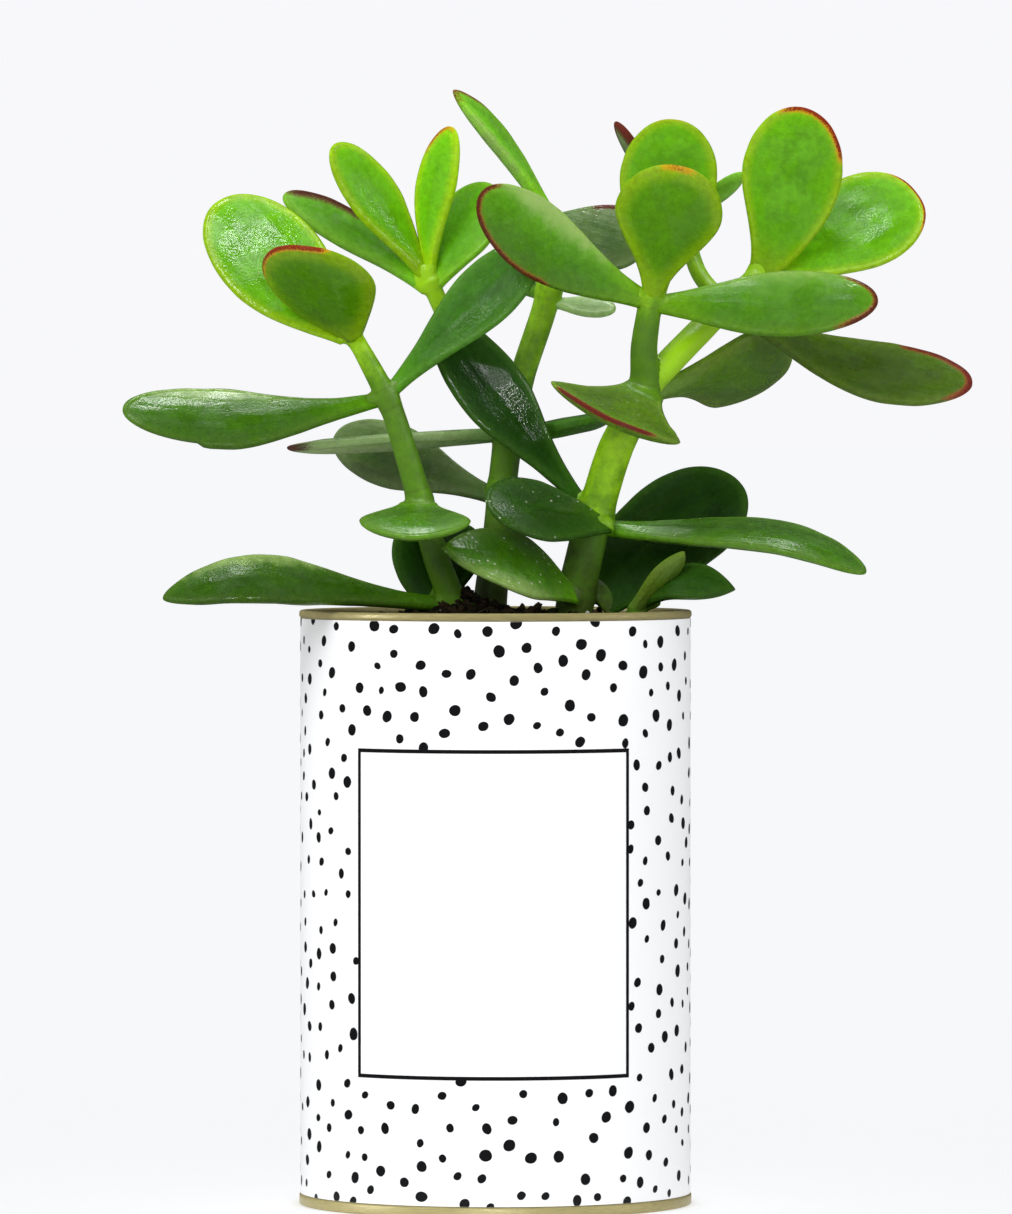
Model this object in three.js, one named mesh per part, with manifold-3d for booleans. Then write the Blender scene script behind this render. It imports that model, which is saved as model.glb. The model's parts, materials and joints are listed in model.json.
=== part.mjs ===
// A potted crassula: a jade plant growing in a paper-labelled food tin. Millimetres, +Z up.
// The origin is the centre of the tin's underside. The plant is seen from -Y.
import * as THREE from "three";
import { mergeVertices } from "three/addons/utils/BufferGeometryUtils.js";
import Module from "manifold-3d";

const wasm = await Module();
wasm.setup();

// Tin
const TIN_RADIUS = 36.5;
const TIN_HEIGHT = 110.5;
const WALL_OUTER = 35.9;
const WALL_INNER = 35.3;
const RIM_HEIGHT = 1.4;
const SEAM_HEIGHT = 2.0;
const ROUND_STEPS = 48;
const LABEL_INNER = 36.0;
const LABEL_OUTER = 36.3;
const LABEL_LAP = 0.15;

// Soil
const SOIL_GAP = 0.3;
const SOIL_FLOOR = 2.4;
const SOIL_WALL_LEVEL = 107;
const SOIL_MOUND = 3;
const SOIL_LUMP = 0.5;
const SOIL_RINGS = 8;
const SOIL_SPOKES = 32;

// Stems and leaves
const CLEARANCE = 0.3;
const STEM_SIDES = 10;
const STEM_STEP = 3;
const JOINT_SWELL = 0.14;
const JOINT_LENGTH = 1.7;
const LEAF_SIDES = 10;
const LEAF_STATIONS = 10;
const UPPER_SHARE = 0.8;
const SAME_JOINT = 7;

const COLOURS = {
  tin: 0xb3a774,
  paper: 0xf4f3f5,
  soil: 0x2b2019,
  stem: 0x5f9a2c,
  bright: 0x6cbf1d,
  green: 0x3f8f2c,
  dark: 0x1f5a24,
};

// Each stem is a list of limbs: points of its centre line, the radius at each, and which of the
// points are joints, where the bark swells under a pair of leaves.
const STEMS = {
  stem_left: [
    {
      points: [[-6, -5.6, 97], [-7.5, -6, 110.2], [-10.8, -6.5, 119.8], [-14, -7, 131],
        [-17.3, -7, 142.1], [-20, -7, 149.7], [-24.8, -7, 158.8], [-27, -7, 162]],
      radii: [2.5, 2.6, 2.5, 2.4, 2.2, 2.1, 1.7, 1.7],
      joints: [3, 5, 7],
    },
  ],
  stem_middle: [
    {
      points: [[-1.4, 5.6, 97], [-1, 6, 111.4], [0.3, 7, 122.4], [1.2, 8, 132.7],
        [2.5, 9, 142.6], [5.1, 11, 154.2], [10, 13, 170.1], [10.7, 14, 184.2]],
      radii: [3.2, 3.2, 2.9, 2.7, 2.8, 2.4, 2.4, 1.8],
      joints: [3, 4, 6, 7],
    },
    {
      points: [[2.5, 9, 142.6], [-2.9, 9, 152.3], [-8.5, 7, 163.5], [-12.4, 5, 171.9]],
      radii: [2.2, 2, 1.8, 1.7],
      joints: [3],
    },
  ],
  stem_right: [
    {
      points: [[13.6, 0, 97], [14.8, 0, 111.6], [16.6, -1, 120.7], [18.5, -1, 128.1],
        [22.2, -2, 140.2], [27.3, -3, 151], [27.6, -5, 159.7], [28.9, -6, 168.6]],
      radii: [3.6, 3.6, 3.5, 3.4, 3.3, 2.9, 2.5, 2.2],
      joints: [3, 5, 7],
    },
    {
      points: [[27.3, -3, 151], [32.6, -1, 156.8], [38.4, 2, 162.7], [45.5, 5, 169.6],
        [48.8, 6, 172.3]],
      radii: [2.4, 2.6, 2.5, 2.1, 2],
      joints: [4],
    },
    {
      points: [[43, 4, 167], [38.2, 8, 172.8], [36, 12, 179.3], [34.2, 14, 184.2]],
      radii: [1.7, 1.6, 1.5, 1.4],
      joints: [3],
    },
  ],
  stem_offshoot: [
    {
      points: [[26, -6, 98], [26, -6, 106], [26.1, -6, 110.4]],
      radii: [1.9, 1.9, 1.7],
      joints: [2],
    },
  ],
};

// What a leaf has unless its entry says otherwise. Bow and sway are shares of the length by which
// the midrib leaves the straight line from base to tip: bow towards the upper side and sway to
// the right, most at peak. Cup lifts the margins, as a share of the half width.
const PLAIN_LEAF = {
  thick: 3,
  widest: 0.62,
  neck: 0.24,
  rise: 1.5,
  blunt: 0.5,
  bow: 0,
  peak: 0.5,
  sway: 0,
  cup: 0.08,
  colour: "green",
};

const LEAVES = [
  // Left stem
  {
    name: "leaf_left_reach", stem: "stem_left", base: [-20.2, -7, 149.9], tip: [-68.7, -16, 147.4],
    face: [0, -0.75, 0.65], width: 15, neck: 0.2, rise: 1.9, bow: -0.09,
  },
  {
    name: "leaf_left_inner", stem: "stem_left", base: [-19.9, -7, 150.6], tip: [8.3, -7, 178.2],
    face: [-0.5, -0.8, 0.3], width: 14.2, widest: 0.66, neck: 0.2, rise: 1.7, sway: -0.01,
    colour: "dark",
  },
  {
    name: "leaf_left_top_back", stem: "stem_left", base: [-27.2, -7, 161.3],
    tip: [-51.1, 1.5, 186.8], face: [0.2, -0.85, 0.45], width: 21.2, widest: 0.58, rise: 1.1,
    sway: -0.035, colour: "bright",
  },
  {
    name: "leaf_left_top_front", stem: "stem_left", base: [-26.4, -8, 161.2],
    tip: [-34.6, -26, 177.6], face: [0.2, 0.45, 0.9], width: 21.8, widest: 0.6, neck: 0.2,
    rise: 0.95, sway: 0.06, colour: "bright",
  },
  {
    name: "leaf_left_mid_front", stem: "stem_left", base: [-14.3, -8, 129.9],
    tip: [-15.1, -30, 124.2], face: [0, -0.3, 0.95], width: 20.5, widest: 0.6, neck: 0.35,
  },
  {
    name: "leaf_left_mid_back", stem: "stem_left", base: [-14, -6, 129.5], tip: [-17, 15, 125.5],
    face: [0, 0.2, 0.98], width: 15, widest: 0.6, neck: 0.35,
  },
  {
    name: "leaf_left_foot_long", stem: "stem_left", base: [-8.8, -7, 111.8], tip: [-60.9, -28, 113],
    face: [0, -0.7, 0.7], width: 12.8, rise: 2.2, blunt: 0.6, bow: 0.09, peak: 0.66,
  },
  {
    name: "leaf_left_foot_small", stem: "stem_left", base: [-10.8, -5, 111], tip: [-16.9, -3, 126],
    face: [0.3, -0.9, 0.3], width: 10.4, widest: 0.5, neck: 0.7, colour: "dark",
  },
  {
    name: "leaf_left_foot_inner", stem: "stem_left", base: [-8.1, -5, 112.4], tip: [-5.5, 1, 126.4],
    face: [0, -0.9, -0.3], width: 8, widest: 0.6, colour: "dark",
  },
  // Middle stem
  {
    name: "leaf_middle_low_left", stem: "stem_middle", base: [0.9, 8, 131.1], tip: [-30.2, 18, 143],
    face: [0.2, -0.9, 0.3], width: 13.4, widest: 0.66, rise: 1.9,
  },
  {
    name: "leaf_middle_low_right", stem: "stem_middle", base: [1.4, 8, 129.5], tip: [17, 27, 130.5],
    face: [0, 0, 1], width: 12,
  },
  {
    name: "leaf_middle_left", stem: "stem_middle", base: [2, 9, 143.4], tip: [-38.8, 2, 140.6],
    face: [0, 0, 1], width: 13, thick: 3.3, widest: 0.55,
  },
  {
    name: "leaf_middle_right", stem: "stem_middle", base: [3.1, 9, 143], tip: [22, 10, 146.5],
    face: [0, 0, 1], width: 10, thick: 3.5, widest: 0.6, colour: "dark",
  },
  {
    name: "leaf_crown_left_up", stem: "stem_middle", base: [-12.6, 5, 171.9], tip: [-30.2, 3, 197],
    face: [0.5, -0.8, 0.4], width: 12, sway: 0.02, colour: "bright",
  },
  {
    name: "leaf_crown_right_up", stem: "stem_middle", base: [-12.3, 5, 171.9], tip: [-8, 2, 200.3],
    face: [-0.6, -0.8, 0], width: 9.1, sway: -0.06, colour: "bright",
  },
  {
    name: "leaf_crown_left_out", stem: "stem_middle", base: [-12.8, 5, 170.3],
    tip: [-39.6, 7, 187.7], face: [0.2, -0.6, 0.75], width: 11, sway: 0.05,
  },
  {
    name: "leaf_crown_right_out", stem: "stem_middle", base: [-12.2, 5, 169.6],
    tip: [-0.6, 9, 189.8], face: [-0.4, -0.9, 0.2], width: 12.6, sway: -0.01,
  },
  {
    name: "leaf_spear", stem: "stem_middle", base: [10.8, 14, 183.6], tip: [-7.9, 9, 207.4],
    face: [0.5, -0.5, 0.7], width: 7, blunt: 0.7, sway: 0.05, cup: 0.3,
  },
  {
    name: "leaf_spear_pair", stem: "stem_middle", base: [10.8, 14, 182.9], tip: [28, 8, 177.4],
    face: [0.1, -0.9, 0.4], width: 14, rise: 1, colour: "dark",
  },
  {
    name: "leaf_branch_small", stem: "stem_middle", base: [9.8, 13, 168], tip: [22.4, 9, 166.2],
    face: [0, -0.5, 0.9], width: 7.2, thick: 2.2,
  },
  {
    name: "leaf_branch_back", stem: "stem_middle", base: [9.3, 13, 169], tip: [0, 31, 173.5],
    face: [0, 0, 1], width: 8, thick: 2.4,
  },
  // Right stem
  {
    name: "leaf_right_crossing", stem: "stem_right", base: [16.8, -1, 129.4],
    tip: [-10.7, 0.5, 164.3], face: [0.3, -0.9, 0.3], width: 14.2, neck: 0.2, rise: 2, blunt: 0.45,
    sway: -0.01, colour: "dark",
  },
  {
    name: "leaf_right_low_left", stem: "stem_right", base: [21.2, -4.5, 126.3],
    tip: [-1.8, -14, 130.6], face: [0, -0.7, 0.7], width: 16, widest: 0.6, rise: 1.2,
  },
  {
    name: "leaf_right_low_right", stem: "stem_right", base: [19.3, -1, 126],
    tip: [68.5, -12, 117.5], face: [0, -0.35, 0.93], width: 15, widest: 0.6, neck: 0.3, rise: 1.3,
    bow: 0.072, peak: 0.65,
  },
  {
    name: "leaf_right_foot_back", stem: "stem_right", base: [18.3, 1.5, 112.8], tip: [46, 9, 133.8],
    face: [-0.2, -0.9, 0.4], width: 20.5, neck: 0.55, rise: 1.05, sway: -0.03, colour: "dark",
  },
  {
    name: "leaf_right_foot_front", stem: "stem_right", base: [15, -3, 112.8],
    tip: [-9.9, -16, 122.2], face: [0, -0.75, 0.65], width: 15, widest: 0.48, rise: 1.3,
    blunt: 0.75, bow: 0.09,
  },
  {
    name: "leaf_right_mid_back", stem: "stem_right", base: [28.8, -2, 150.8], tip: [55, 22, 155.4],
    face: [-0.3, 0.7, 0.65], width: 19, rise: 2.1, sway: 0.05,
  },
  {
    name: "leaf_right_mid_front", stem: "stem_right", base: [27.6, -4, 151],
    tip: [20.2, -28, 146.4], face: [0.36, -0.3, 0.88], width: 26.5, widest: 0.72, neck: 0.3,
    bow: -0.08,
  },
  {
    name: "leaf_centre_left", stem: "stem_right", base: [28.7, -6, 167.5], tip: [-2.6, -14, 187.9],
    face: [0.2, -0.95, 0.2], width: 14.5, widest: 0.66, sway: -0.055,
  },
  {
    name: "leaf_centre_right", stem: "stem_right", base: [29.4, -6, 167.3], tip: [70.7, -12, 167.8],
    face: [0, -0.8, 0.6], width: 15.3, widest: 0.6, rise: 1.3, sway: 0.02,
  },
  {
    name: "leaf_centre_front", stem: "stem_right", base: [29, -7, 168.8], tip: [33.8, -18, 192.6],
    face: [0, 0.9, 0.4], width: 19.9, neck: 0.2, rise: 1.7, colour: "bright",
  },
  {
    name: "leaf_centre_back", stem: "stem_right", base: [29.4, -5, 168.8], tip: [33.6, 6, 201.8],
    face: [0, -0.95, 0.3], width: 18.1, widest: 0.66, colour: "bright",
  },
  {
    name: "leaf_far_low", stem: "stem_right", base: [43.4, 4, 167.2], tip: [88.7, 2, 152.1],
    face: [0.2, -0.75, 0.65], width: 15.5, widest: 0.68, neck: 0.2, rise: 1.8, bow: -0.11,
  },
  {
    name: "leaf_far_back", stem: "stem_right", base: [43.8, 4.6, 167.8], tip: [46, 34, 169.5],
    face: [0, 0, 1], width: 14, widest: 0.64,
  },
  {
    name: "leaf_far_up", stem: "stem_right", base: [48.6, 6, 171.9], tip: [56.5, 0, 204],
    face: [0, -0.95, 0.2], width: 18.7, widest: 0.64, rise: 1.3, peak: 0.4, sway: 0.065,
    colour: "bright",
  },
  {
    name: "leaf_far_side", stem: "stem_right", base: [49.4, 6, 171.7], tip: [79, 14, 188.2],
    face: [-0.2, -0.9, 0.4], width: 20.2, widest: 0.66, blunt: 0.45, colour: "bright",
  },
  {
    name: "leaf_rear_left", stem: "stem_right", base: [33.9, 14, 182.9], tip: [22.4, 12, 201.6],
    face: [0.5, 0.5, 0.6], width: 4.6, thick: 2.2,
  },
  {
    name: "leaf_rear_right", stem: "stem_right", base: [34.4, 14, 182.9], tip: [46.6, 15, 192],
    face: [-0.4, 0.5, 0.8], width: 5,
  },
  // Offshoot
  {
    name: "leaf_offshoot_up", stem: "stem_offshoot", base: [25.6, -6.5, 110.6],
    tip: [34.9, -13, 121.5], face: [-0.5, 0.6, 0.6], width: 6, thick: 2.6, neck: 0.5, blunt: 0.8,
  },
  {
    name: "leaf_offshoot_side", stem: "stem_offshoot", base: [26.8, -6, 111.4],
    tip: [44.4, -10, 114.4], face: [0, -0.7, 0.7], width: 9.2, blunt: 1, bow: 0.22,
  },
];

// A repeatable stream of numbers from 0 to 1.
function seededRandom(seed) {
  let state = seed >>> 0;
  return () => {
    state = (Math.imul(state, 1664525) + 1013904223) >>> 0;
    return state / 2 ** 32;
  };
}

function vector(values) {
  return new THREE.Vector3(...values);
}

// A closed geometry as a solid that can be joined and cut.
function solidOf(geometry) {
  const bare = geometry.clone();
  bare.deleteAttribute("normal");
  bare.deleteAttribute("uv");
  const merged = mergeVertices(bare, 1e-4);
  return new wasm.Manifold(
    new wasm.Mesh({
      numProp: 3,
      vertProperties: merged.attributes.position.array,
      triVerts: new Uint32Array(merged.index.array),
    }),
  );
}

// The largest piece of a solid, as a geometry.
function geometryOf(solid) {
  const pieces = solid.decompose();
  pieces.sort((a, b) => b.volume() - a.volume());
  const mesh = pieces[0].getMesh();
  const geometry = new THREE.BufferGeometry();
  geometry.setAttribute("position", new THREE.BufferAttribute(mesh.vertProperties, 3));
  geometry.setIndex(new THREE.BufferAttribute(mesh.triVerts, 1));
  geometry.computeVertexNormals();
  return geometry;
}

function meshOf(name, geometry, colour, roughness, metalness) {
  const material = new THREE.MeshStandardMaterial({ color: colour, roughness, metalness });
  const mesh = new THREE.Mesh(geometry, material);
  mesh.name = name;
  return mesh;
}

// A closed skin over rings of points. The first ring is closed by a flat fan round its middle,
// the last by a fan to the point at the end.
function skinOver(rings, first, last) {
  const sides = rings[0].length;
  const points = [first, ...rings.flat(), last];
  const index = [];
  for (let k = 0; k < sides; k++) {
    const next = (k + 1) % sides;
    index.push(0, 1 + next, 1 + k);
    for (let r = 0; r + 1 < rings.length; r++) {
      const low = 1 + r * sides;
      const high = low + sides;
      index.push(low + k, low + next, high + next);
      index.push(low + k, high + next, high + k);
    }
    const top = 1 + (rings.length - 1) * sides;
    index.push(top + k, top + next, points.length - 1);
  }
  const geometry = new THREE.BufferGeometry();
  const flat = points.flatMap((p) => [p.x, p.y, p.z]);
  geometry.setAttribute("position", new THREE.Float32BufferAttribute(flat, 3));
  geometry.setIndex(index);
  return geometry;
}

// Spun round the tin's axis from a closed list of radius and height pairs.
function spun(profile) {
  const closed = [...profile, profile[0]].map(([r, z]) => new THREE.Vector2(r, z));
  const geometry = new THREE.LatheGeometry(closed, ROUND_STEPS);
  geometry.rotateX(Math.PI / 2);
  return geometryOf(solidOf(geometry));
}

function tinBody() {
  const rim = TIN_HEIGHT - RIM_HEIGHT;
  const geometry = spun([
    [WALL_INNER, 1],
    [WALL_OUTER, 1],
    [WALL_OUTER, rim],
    [TIN_RADIUS - 0.25, rim],
    [TIN_RADIUS, rim + 0.3],
    [TIN_RADIUS, TIN_HEIGHT - 0.35],
    [TIN_RADIUS - 0.35, TIN_HEIGHT],
    [WALL_INNER + 0.1, TIN_HEIGHT],
    [WALL_INNER - 0.2, TIN_HEIGHT - 0.3],
    [WALL_INNER - 0.2, rim + 0.3],
    [WALL_INNER, rim],
  ]);
  return meshOf("tin_body", geometry, COLOURS.tin, 0.35, 0.9);
}

// The bottom end: a flat centre panel, a ring of countersink, and the seam that grips the wall.
function tinBase() {
  const panel = 0.7;
  const step = 1.2;
  const shape = [
    [0, 0],
    [28.5, 0],
    [29.5, step],
    [33, step],
    [34.2, 0],
    [TIN_RADIUS - 0.3, 0],
    [TIN_RADIUS, 0.3],
    [TIN_RADIUS, SEAM_HEIGHT - 0.3],
    [TIN_RADIUS - 0.2, SEAM_HEIGHT],
    [LABEL_INNER, SEAM_HEIGHT],
    [LABEL_INNER, 0.9],
    [WALL_INNER - 0.1, 0.9],
    [WALL_INNER - 0.1, SEAM_HEIGHT],
    [WALL_INNER - 0.6, SEAM_HEIGHT],
    [WALL_INNER - 0.8, step + 0.6],
    [29.2, step + 0.6],
    [28.2, panel],
    [0, panel],
  ];
  return meshOf("tin_base", spun(shape), COLOURS.tin, 0.35, 0.9);
}

// The paper runs once round the wall. At the back one end laps over the other, a facet wide.
function paperLabel() {
  const low = SEAM_HEIGHT + 0.1;
  const high = TIN_HEIGHT - RIM_HEIGHT - 0.1;
  const point = (radius, k) => {
    const angle = Math.PI / 2 + (2 * Math.PI * k) / ROUND_STEPS;
    return new THREE.Vector2(radius * Math.cos(angle), radius * Math.sin(angle));
  };
  const outline = [point(LABEL_OUTER + LABEL_LAP, 0), point(LABEL_OUTER + LABEL_LAP, 1)];
  const inside = [];
  for (let k = 1; k <= ROUND_STEPS; k++) {
    outline.push(point(LABEL_OUTER, k));
    inside.push(point(LABEL_INNER, k));
  }
  const shape = new THREE.Shape(outline);
  shape.holes.push(new THREE.Path(inside));
  const geometry = new THREE.ExtrudeGeometry(shape, { depth: high - low, bevelEnabled: false });
  geometry.translate(0, 0, low);
  return meshOf("paper_label", geometryOf(solidOf(geometry)), COLOURS.paper, 0.55, 0);
}

// Soil level over the tin, mounded in the middle and lumpy.
function soilLevel(x, y) {
  const share = Math.hypot(x, y) / WALL_INNER;
  const lumps = Math.sin(x * 0.55 + 1.3) * Math.cos(y * 0.47) + 0.6 * Math.sin(x * 1.1 - y * 0.9);
  return SOIL_WALL_LEVEL + SOIL_MOUND * (1 - share * share) + SOIL_LUMP * lumps * (1 - share);
}

function soil(stemsGrown) {
  const random = seededRandom(7);
  const radius = WALL_INNER - 0.2 - SOIL_GAP;
  const rings = [];
  const ringAt = (r, level) => {
    const ring = [];
    for (let k = 0; k < SOIL_SPOKES; k++) {
      const angle = (2 * Math.PI * k) / SOIL_SPOKES;
      const x = r * Math.cos(angle);
      const y = r * Math.sin(angle);
      ring.push(new THREE.Vector3(x, y, level(x, y)));
    }
    return ring;
  };
  rings.push(ringAt(radius, () => SOIL_FLOOR));
  for (let i = SOIL_RINGS; i >= 1; i--) {
    const r = (radius * i) / SOIL_RINGS;
    rings.push(ringAt(r, (x, y) => soilLevel(x, y) + (random() - 0.5) * SOIL_LUMP));
  }
  const middle = new THREE.Vector3(0, 0, soilLevel(0, 0));
  let fill = solidOf(skinOver(rings, new THREE.Vector3(0, 0, SOIL_FLOOR), middle));
  for (const grown of stemsGrown) fill = fill.subtract(grown);
  return meshOf("soil", geometryOf(fill), COLOURS.soil, 0.95, 0);
}

// One limb of a stem, its skin moved outwards by grow.
function limb({ points, radii, joints }, grow) {
  const curve = new THREE.CatmullRomCurve3(points.map(vector), false, "catmullrom", 0.5);
  const spans = points.length - 1;
  const steps = Math.max(3, Math.round(curve.getLength() / STEM_STEP));
  const swellings = joints.map((j) => vector(points[j]));
  const rings = [];
  const place = (t, reach, scale) => {
    const centre = curve.getPoint(t);
    const along = curve.getTangent(t);
    const side = new THREE.Vector3(0, 1, 0).cross(along).normalize();
    const other = along.clone().cross(side);
    const span = Math.min(Math.floor(t * spans), spans - 1);
    const radius = THREE.MathUtils.lerp(radii[span], radii[span + 1], t * spans - span);
    const swell = Math.max(
      0,
      ...swellings.map((s) => Math.exp(-((s.distanceTo(centre) / JOINT_LENGTH) ** 2))),
    );
    const r = (radius * (1 + JOINT_SWELL * swell) + grow) * scale;
    centre.addScaledVector(along, reach);
    const ring = [];
    for (let k = 0; k < STEM_SIDES; k++) {
      const angle = (2 * Math.PI * k) / STEM_SIDES;
      const p = centre.clone().addScaledVector(side, r * Math.cos(angle));
      ring.push(p.addScaledVector(other, r * Math.sin(angle)));
    }
    rings.push(ring);
    return centre;
  };
  const foot = place(0, -grow, 1);
  for (let i = 1; i < steps; i++) place(i / steps, 0, 1);
  const last = radii[spans];
  place(1, grow, 1);
  place(1, grow + 0.45 * last, 0.72);
  const end = curve.getPoint(1).addScaledVector(curve.getTangent(1), grow + 0.65 * last);
  return solidOf(skinOver(rings, foot, end));
}

function stemSolid(limbs, grow) {
  return limbs.map((l) => limb(l, grow)).reduce((joined, next) => joined.add(next));
}

// Half the blade's width at a share of the length, from the narrow neck to the round end.
function bladeWidth(leaf, t) {
  if (t < leaf.widest) {
    const part = Math.sin((Math.PI / 2) * (t / leaf.widest) ** leaf.rise);
    return (leaf.width / 2) * (leaf.neck + (1 - leaf.neck) * part);
  }
  const part = (t - leaf.widest) / (1 - leaf.widest);
  return (leaf.width / 2) * (1 - part * part) ** leaf.blunt;
}

function bladeThickness(leaf, t) {
  const end = Math.max(0, (t - 0.75) / 0.25);
  return (leaf.thick / 2) * (0.8 + 0.2 * Math.sin(Math.PI * t)) * Math.sqrt(1 - end * end);
}

// The midrib's middle at a share of the length.
function midrib(leaf, axes, t) {
  const peak = Math.log(0.5) / Math.log(leaf.peak);
  const arc = Math.sin(Math.PI * t ** peak);
  return vector(leaf.base)
    .addScaledVector(axes.along, axes.length * t)
    .addScaledVector(axes.up, axes.length * leaf.bow * arc)
    .addScaledVector(axes.side, axes.length * leaf.sway * arc);
}

function leafAxes(leaf) {
  const along = vector(leaf.tip).sub(vector(leaf.base));
  const length = along.length();
  along.normalize();
  const face = vector(leaf.face);
  const up = face.addScaledVector(along, -face.dot(along)).normalize();
  return { along, up, side: along.clone().cross(up), length };
}

// One leaf, its skin moved outwards by grow.
function leafSolid(entry, grow) {
  const leaf = { ...PLAIN_LEAF, ...entry };
  const axes = leafAxes(leaf);
  const rings = [];
  for (let i = 0; i < LEAF_STATIONS; i++) {
    const t = Math.sin((Math.PI / 2) * (i / LEAF_STATIONS));
    const centre = midrib(leaf, axes, t);
    const along = midrib(leaf, axes, t + 0.005)
      .sub(midrib(leaf, axes, t - 0.005 * Math.min(1, t * 200)))
      .normalize();
    const up = axes.up.clone().addScaledVector(along, -axes.up.dot(along)).normalize();
    const side = along.clone().cross(up);
    const half = bladeWidth(leaf, t) + grow;
    const depth = bladeThickness(leaf, t) + grow;
    const ring = [];
    for (let k = 0; k < LEAF_SIDES; k++) {
      const angle = (2 * Math.PI * k) / LEAF_SIDES;
      const across = Math.cos(angle);
      const lift = Math.sin(angle);
      const share = lift > 0 ? UPPER_SHARE : 2 - UPPER_SHARE;
      const rise = depth * share * lift + leaf.cup * half * across * across;
      ring.push(
        centre.clone().addScaledVector(side, -half * across).addScaledVector(up, rise),
      );
    }
    rings.push(ring);
  }
  const foot = midrib(leaf, axes, 0);
  const tip = midrib(leaf, axes, 1).addScaledVector(axes.along, grow);
  return solidOf(skinOver(rings, foot, tip));
}

function sameJoint(a, b) {
  return a.stem === b.stem && vector(a.base).distanceTo(vector(b.base)) < SAME_JOINT;
}

// Every leaf is cut to its stem, and where two share a joint the later one is cut to the earlier.
function leafMeshes(stemsGrown) {
  return LEAVES.map((entry, i) => {
    let blade = leafSolid(entry, 0).subtract(stemsGrown[entry.stem]);
    for (const other of LEAVES.slice(0, i)) {
      if (sameJoint(entry, other)) blade = blade.subtract(leafSolid(other, CLEARANCE));
    }
    const colour = COLOURS[entry.colour ?? PLAIN_LEAF.colour];
    return meshOf(entry.name, geometryOf(blade), colour, 0.35, 0);
  });
}

function stemMesh(name) {
  return meshOf(name, geometryOf(stemSolid(STEMS[name], 0)), COLOURS.stem, 0.55, 0);
}

const stemsGrown = {};
for (const name of Object.keys(STEMS)) stemsGrown[name] = stemSolid(STEMS[name], CLEARANCE);

const holder = new THREE.Group();
holder.add(tinBody(), tinBase(), paperLabel());
const plant = new THREE.Group();
plant.add(...Object.keys(STEMS).map(stemMesh), ...leafMeshes(stemsGrown));
const pottedPlant = new THREE.Group();
pottedPlant.add(holder, soil(Object.values(stemsGrown)), plant);

export default pottedPlant;
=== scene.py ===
"""The looks of a potted crassula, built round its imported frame.

Shapes are worked out in millimetres with +Z up, and piece() turns them into metres.
The plant is seen from -Y.
"""

import json
import random
from collections import namedtuple
from math import atan, cos, exp, hypot, log, pi, radians, sin, sqrt, tau
from types import SimpleNamespace

import bmesh
import bpy
import numpy as np
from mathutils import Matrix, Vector, noise


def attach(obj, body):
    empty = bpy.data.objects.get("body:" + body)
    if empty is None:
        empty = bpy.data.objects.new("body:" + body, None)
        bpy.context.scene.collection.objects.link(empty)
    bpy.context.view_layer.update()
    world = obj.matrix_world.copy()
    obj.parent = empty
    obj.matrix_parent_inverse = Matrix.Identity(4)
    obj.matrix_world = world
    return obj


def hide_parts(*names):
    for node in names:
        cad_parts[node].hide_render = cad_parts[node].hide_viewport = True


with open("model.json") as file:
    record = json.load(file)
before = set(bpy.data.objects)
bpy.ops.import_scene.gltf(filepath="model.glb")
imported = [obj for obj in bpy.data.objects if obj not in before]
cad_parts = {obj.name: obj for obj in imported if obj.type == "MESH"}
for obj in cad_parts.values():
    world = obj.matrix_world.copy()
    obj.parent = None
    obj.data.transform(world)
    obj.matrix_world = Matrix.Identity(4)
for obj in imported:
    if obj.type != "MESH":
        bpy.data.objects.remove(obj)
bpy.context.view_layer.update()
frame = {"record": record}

MM = 0.001

# Tin and label
TIN_RADIUS = 36.5
TIN_HEIGHT = 110.5
WALL_OUTER = 35.9
WALL_INNER = 35.3
RIM_HEIGHT = 1.4
SEAM_HEIGHT = 2.0
ROUND_STEPS = 192
LABEL_INNER = 36.0
LABEL_OUTER = 36.3
LABEL_LIFT = 0.15
LABEL_OVERLAP = tau / 48
LABEL_LOW = SEAM_HEIGHT + 0.1
LABEL_HIGH = TIN_HEIGHT - RIM_HEIGHT - 0.1

# Print on the label: a plain framed panel in a field of ink spots
INK_RADIUS = LABEL_OUTER + 0.03
LINE_WIDTH = 0.7
LINE_STEPS = 60
PANEL_LEFT, PANEL_RIGHT = -27.8, 26.9
PANEL_LOW, PANEL_HIGH = 25.2, 85.6
SPOT_SPACING = 4.2
SPOT_SMALL, SPOT_LARGE = 0.72, 1.22
SPOT_TRIES = 9000
SPOT_SIDES = 22

# Soil, with a heap of crumbs round the feet of the left and middle stems
SOIL_RADIUS = 34.8
SOIL_FLOOR = 3
SOIL_WALL_LEVEL = 107
SOIL_MOUND = 3
SOIL_RINGS, SOIL_SPOKES = 70, 150
SOIL_TINT = (0.03, 0.017, 0.009)
HEAP_X, HEAP_Y = -7.5, -3
HEAP_TOP = 5.2
GRAINS = 1500
GRAIN_REACH = 33.4
GRAIN_EDGE = 33
ROOTS = 14
ROOT_STEPS = 16
ROOT_RINGS = 40
ROOT_TINT = (0.11, 0.07, 0.035)

# Kinds of grain: colour, size and how long it is for its width
CRUMBS = {
    "crumb": ((0.012, 0.009, 0.005), 0.9, 1.3),
    "bark": ((0.035, 0.022, 0.01), 0.8, 2.2),
    "moss": ((0.03, 0.055, 0.006), 0.6, 1.2),
    "perlite": ((0.62, 0.6, 0.55), 0.75, 1.1),
}

# Leaves and stems
LEAF_SIDES = 36
LEAF_STATIONS = 52
UPPER_SHARE = 0.8
JOINT_SWELL = 0.14
JOINT_LENGTH = 1.7
STEM_SIDES = 20
STEM_STEP = 0.7
STEM_VOXEL = 0.36

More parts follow.
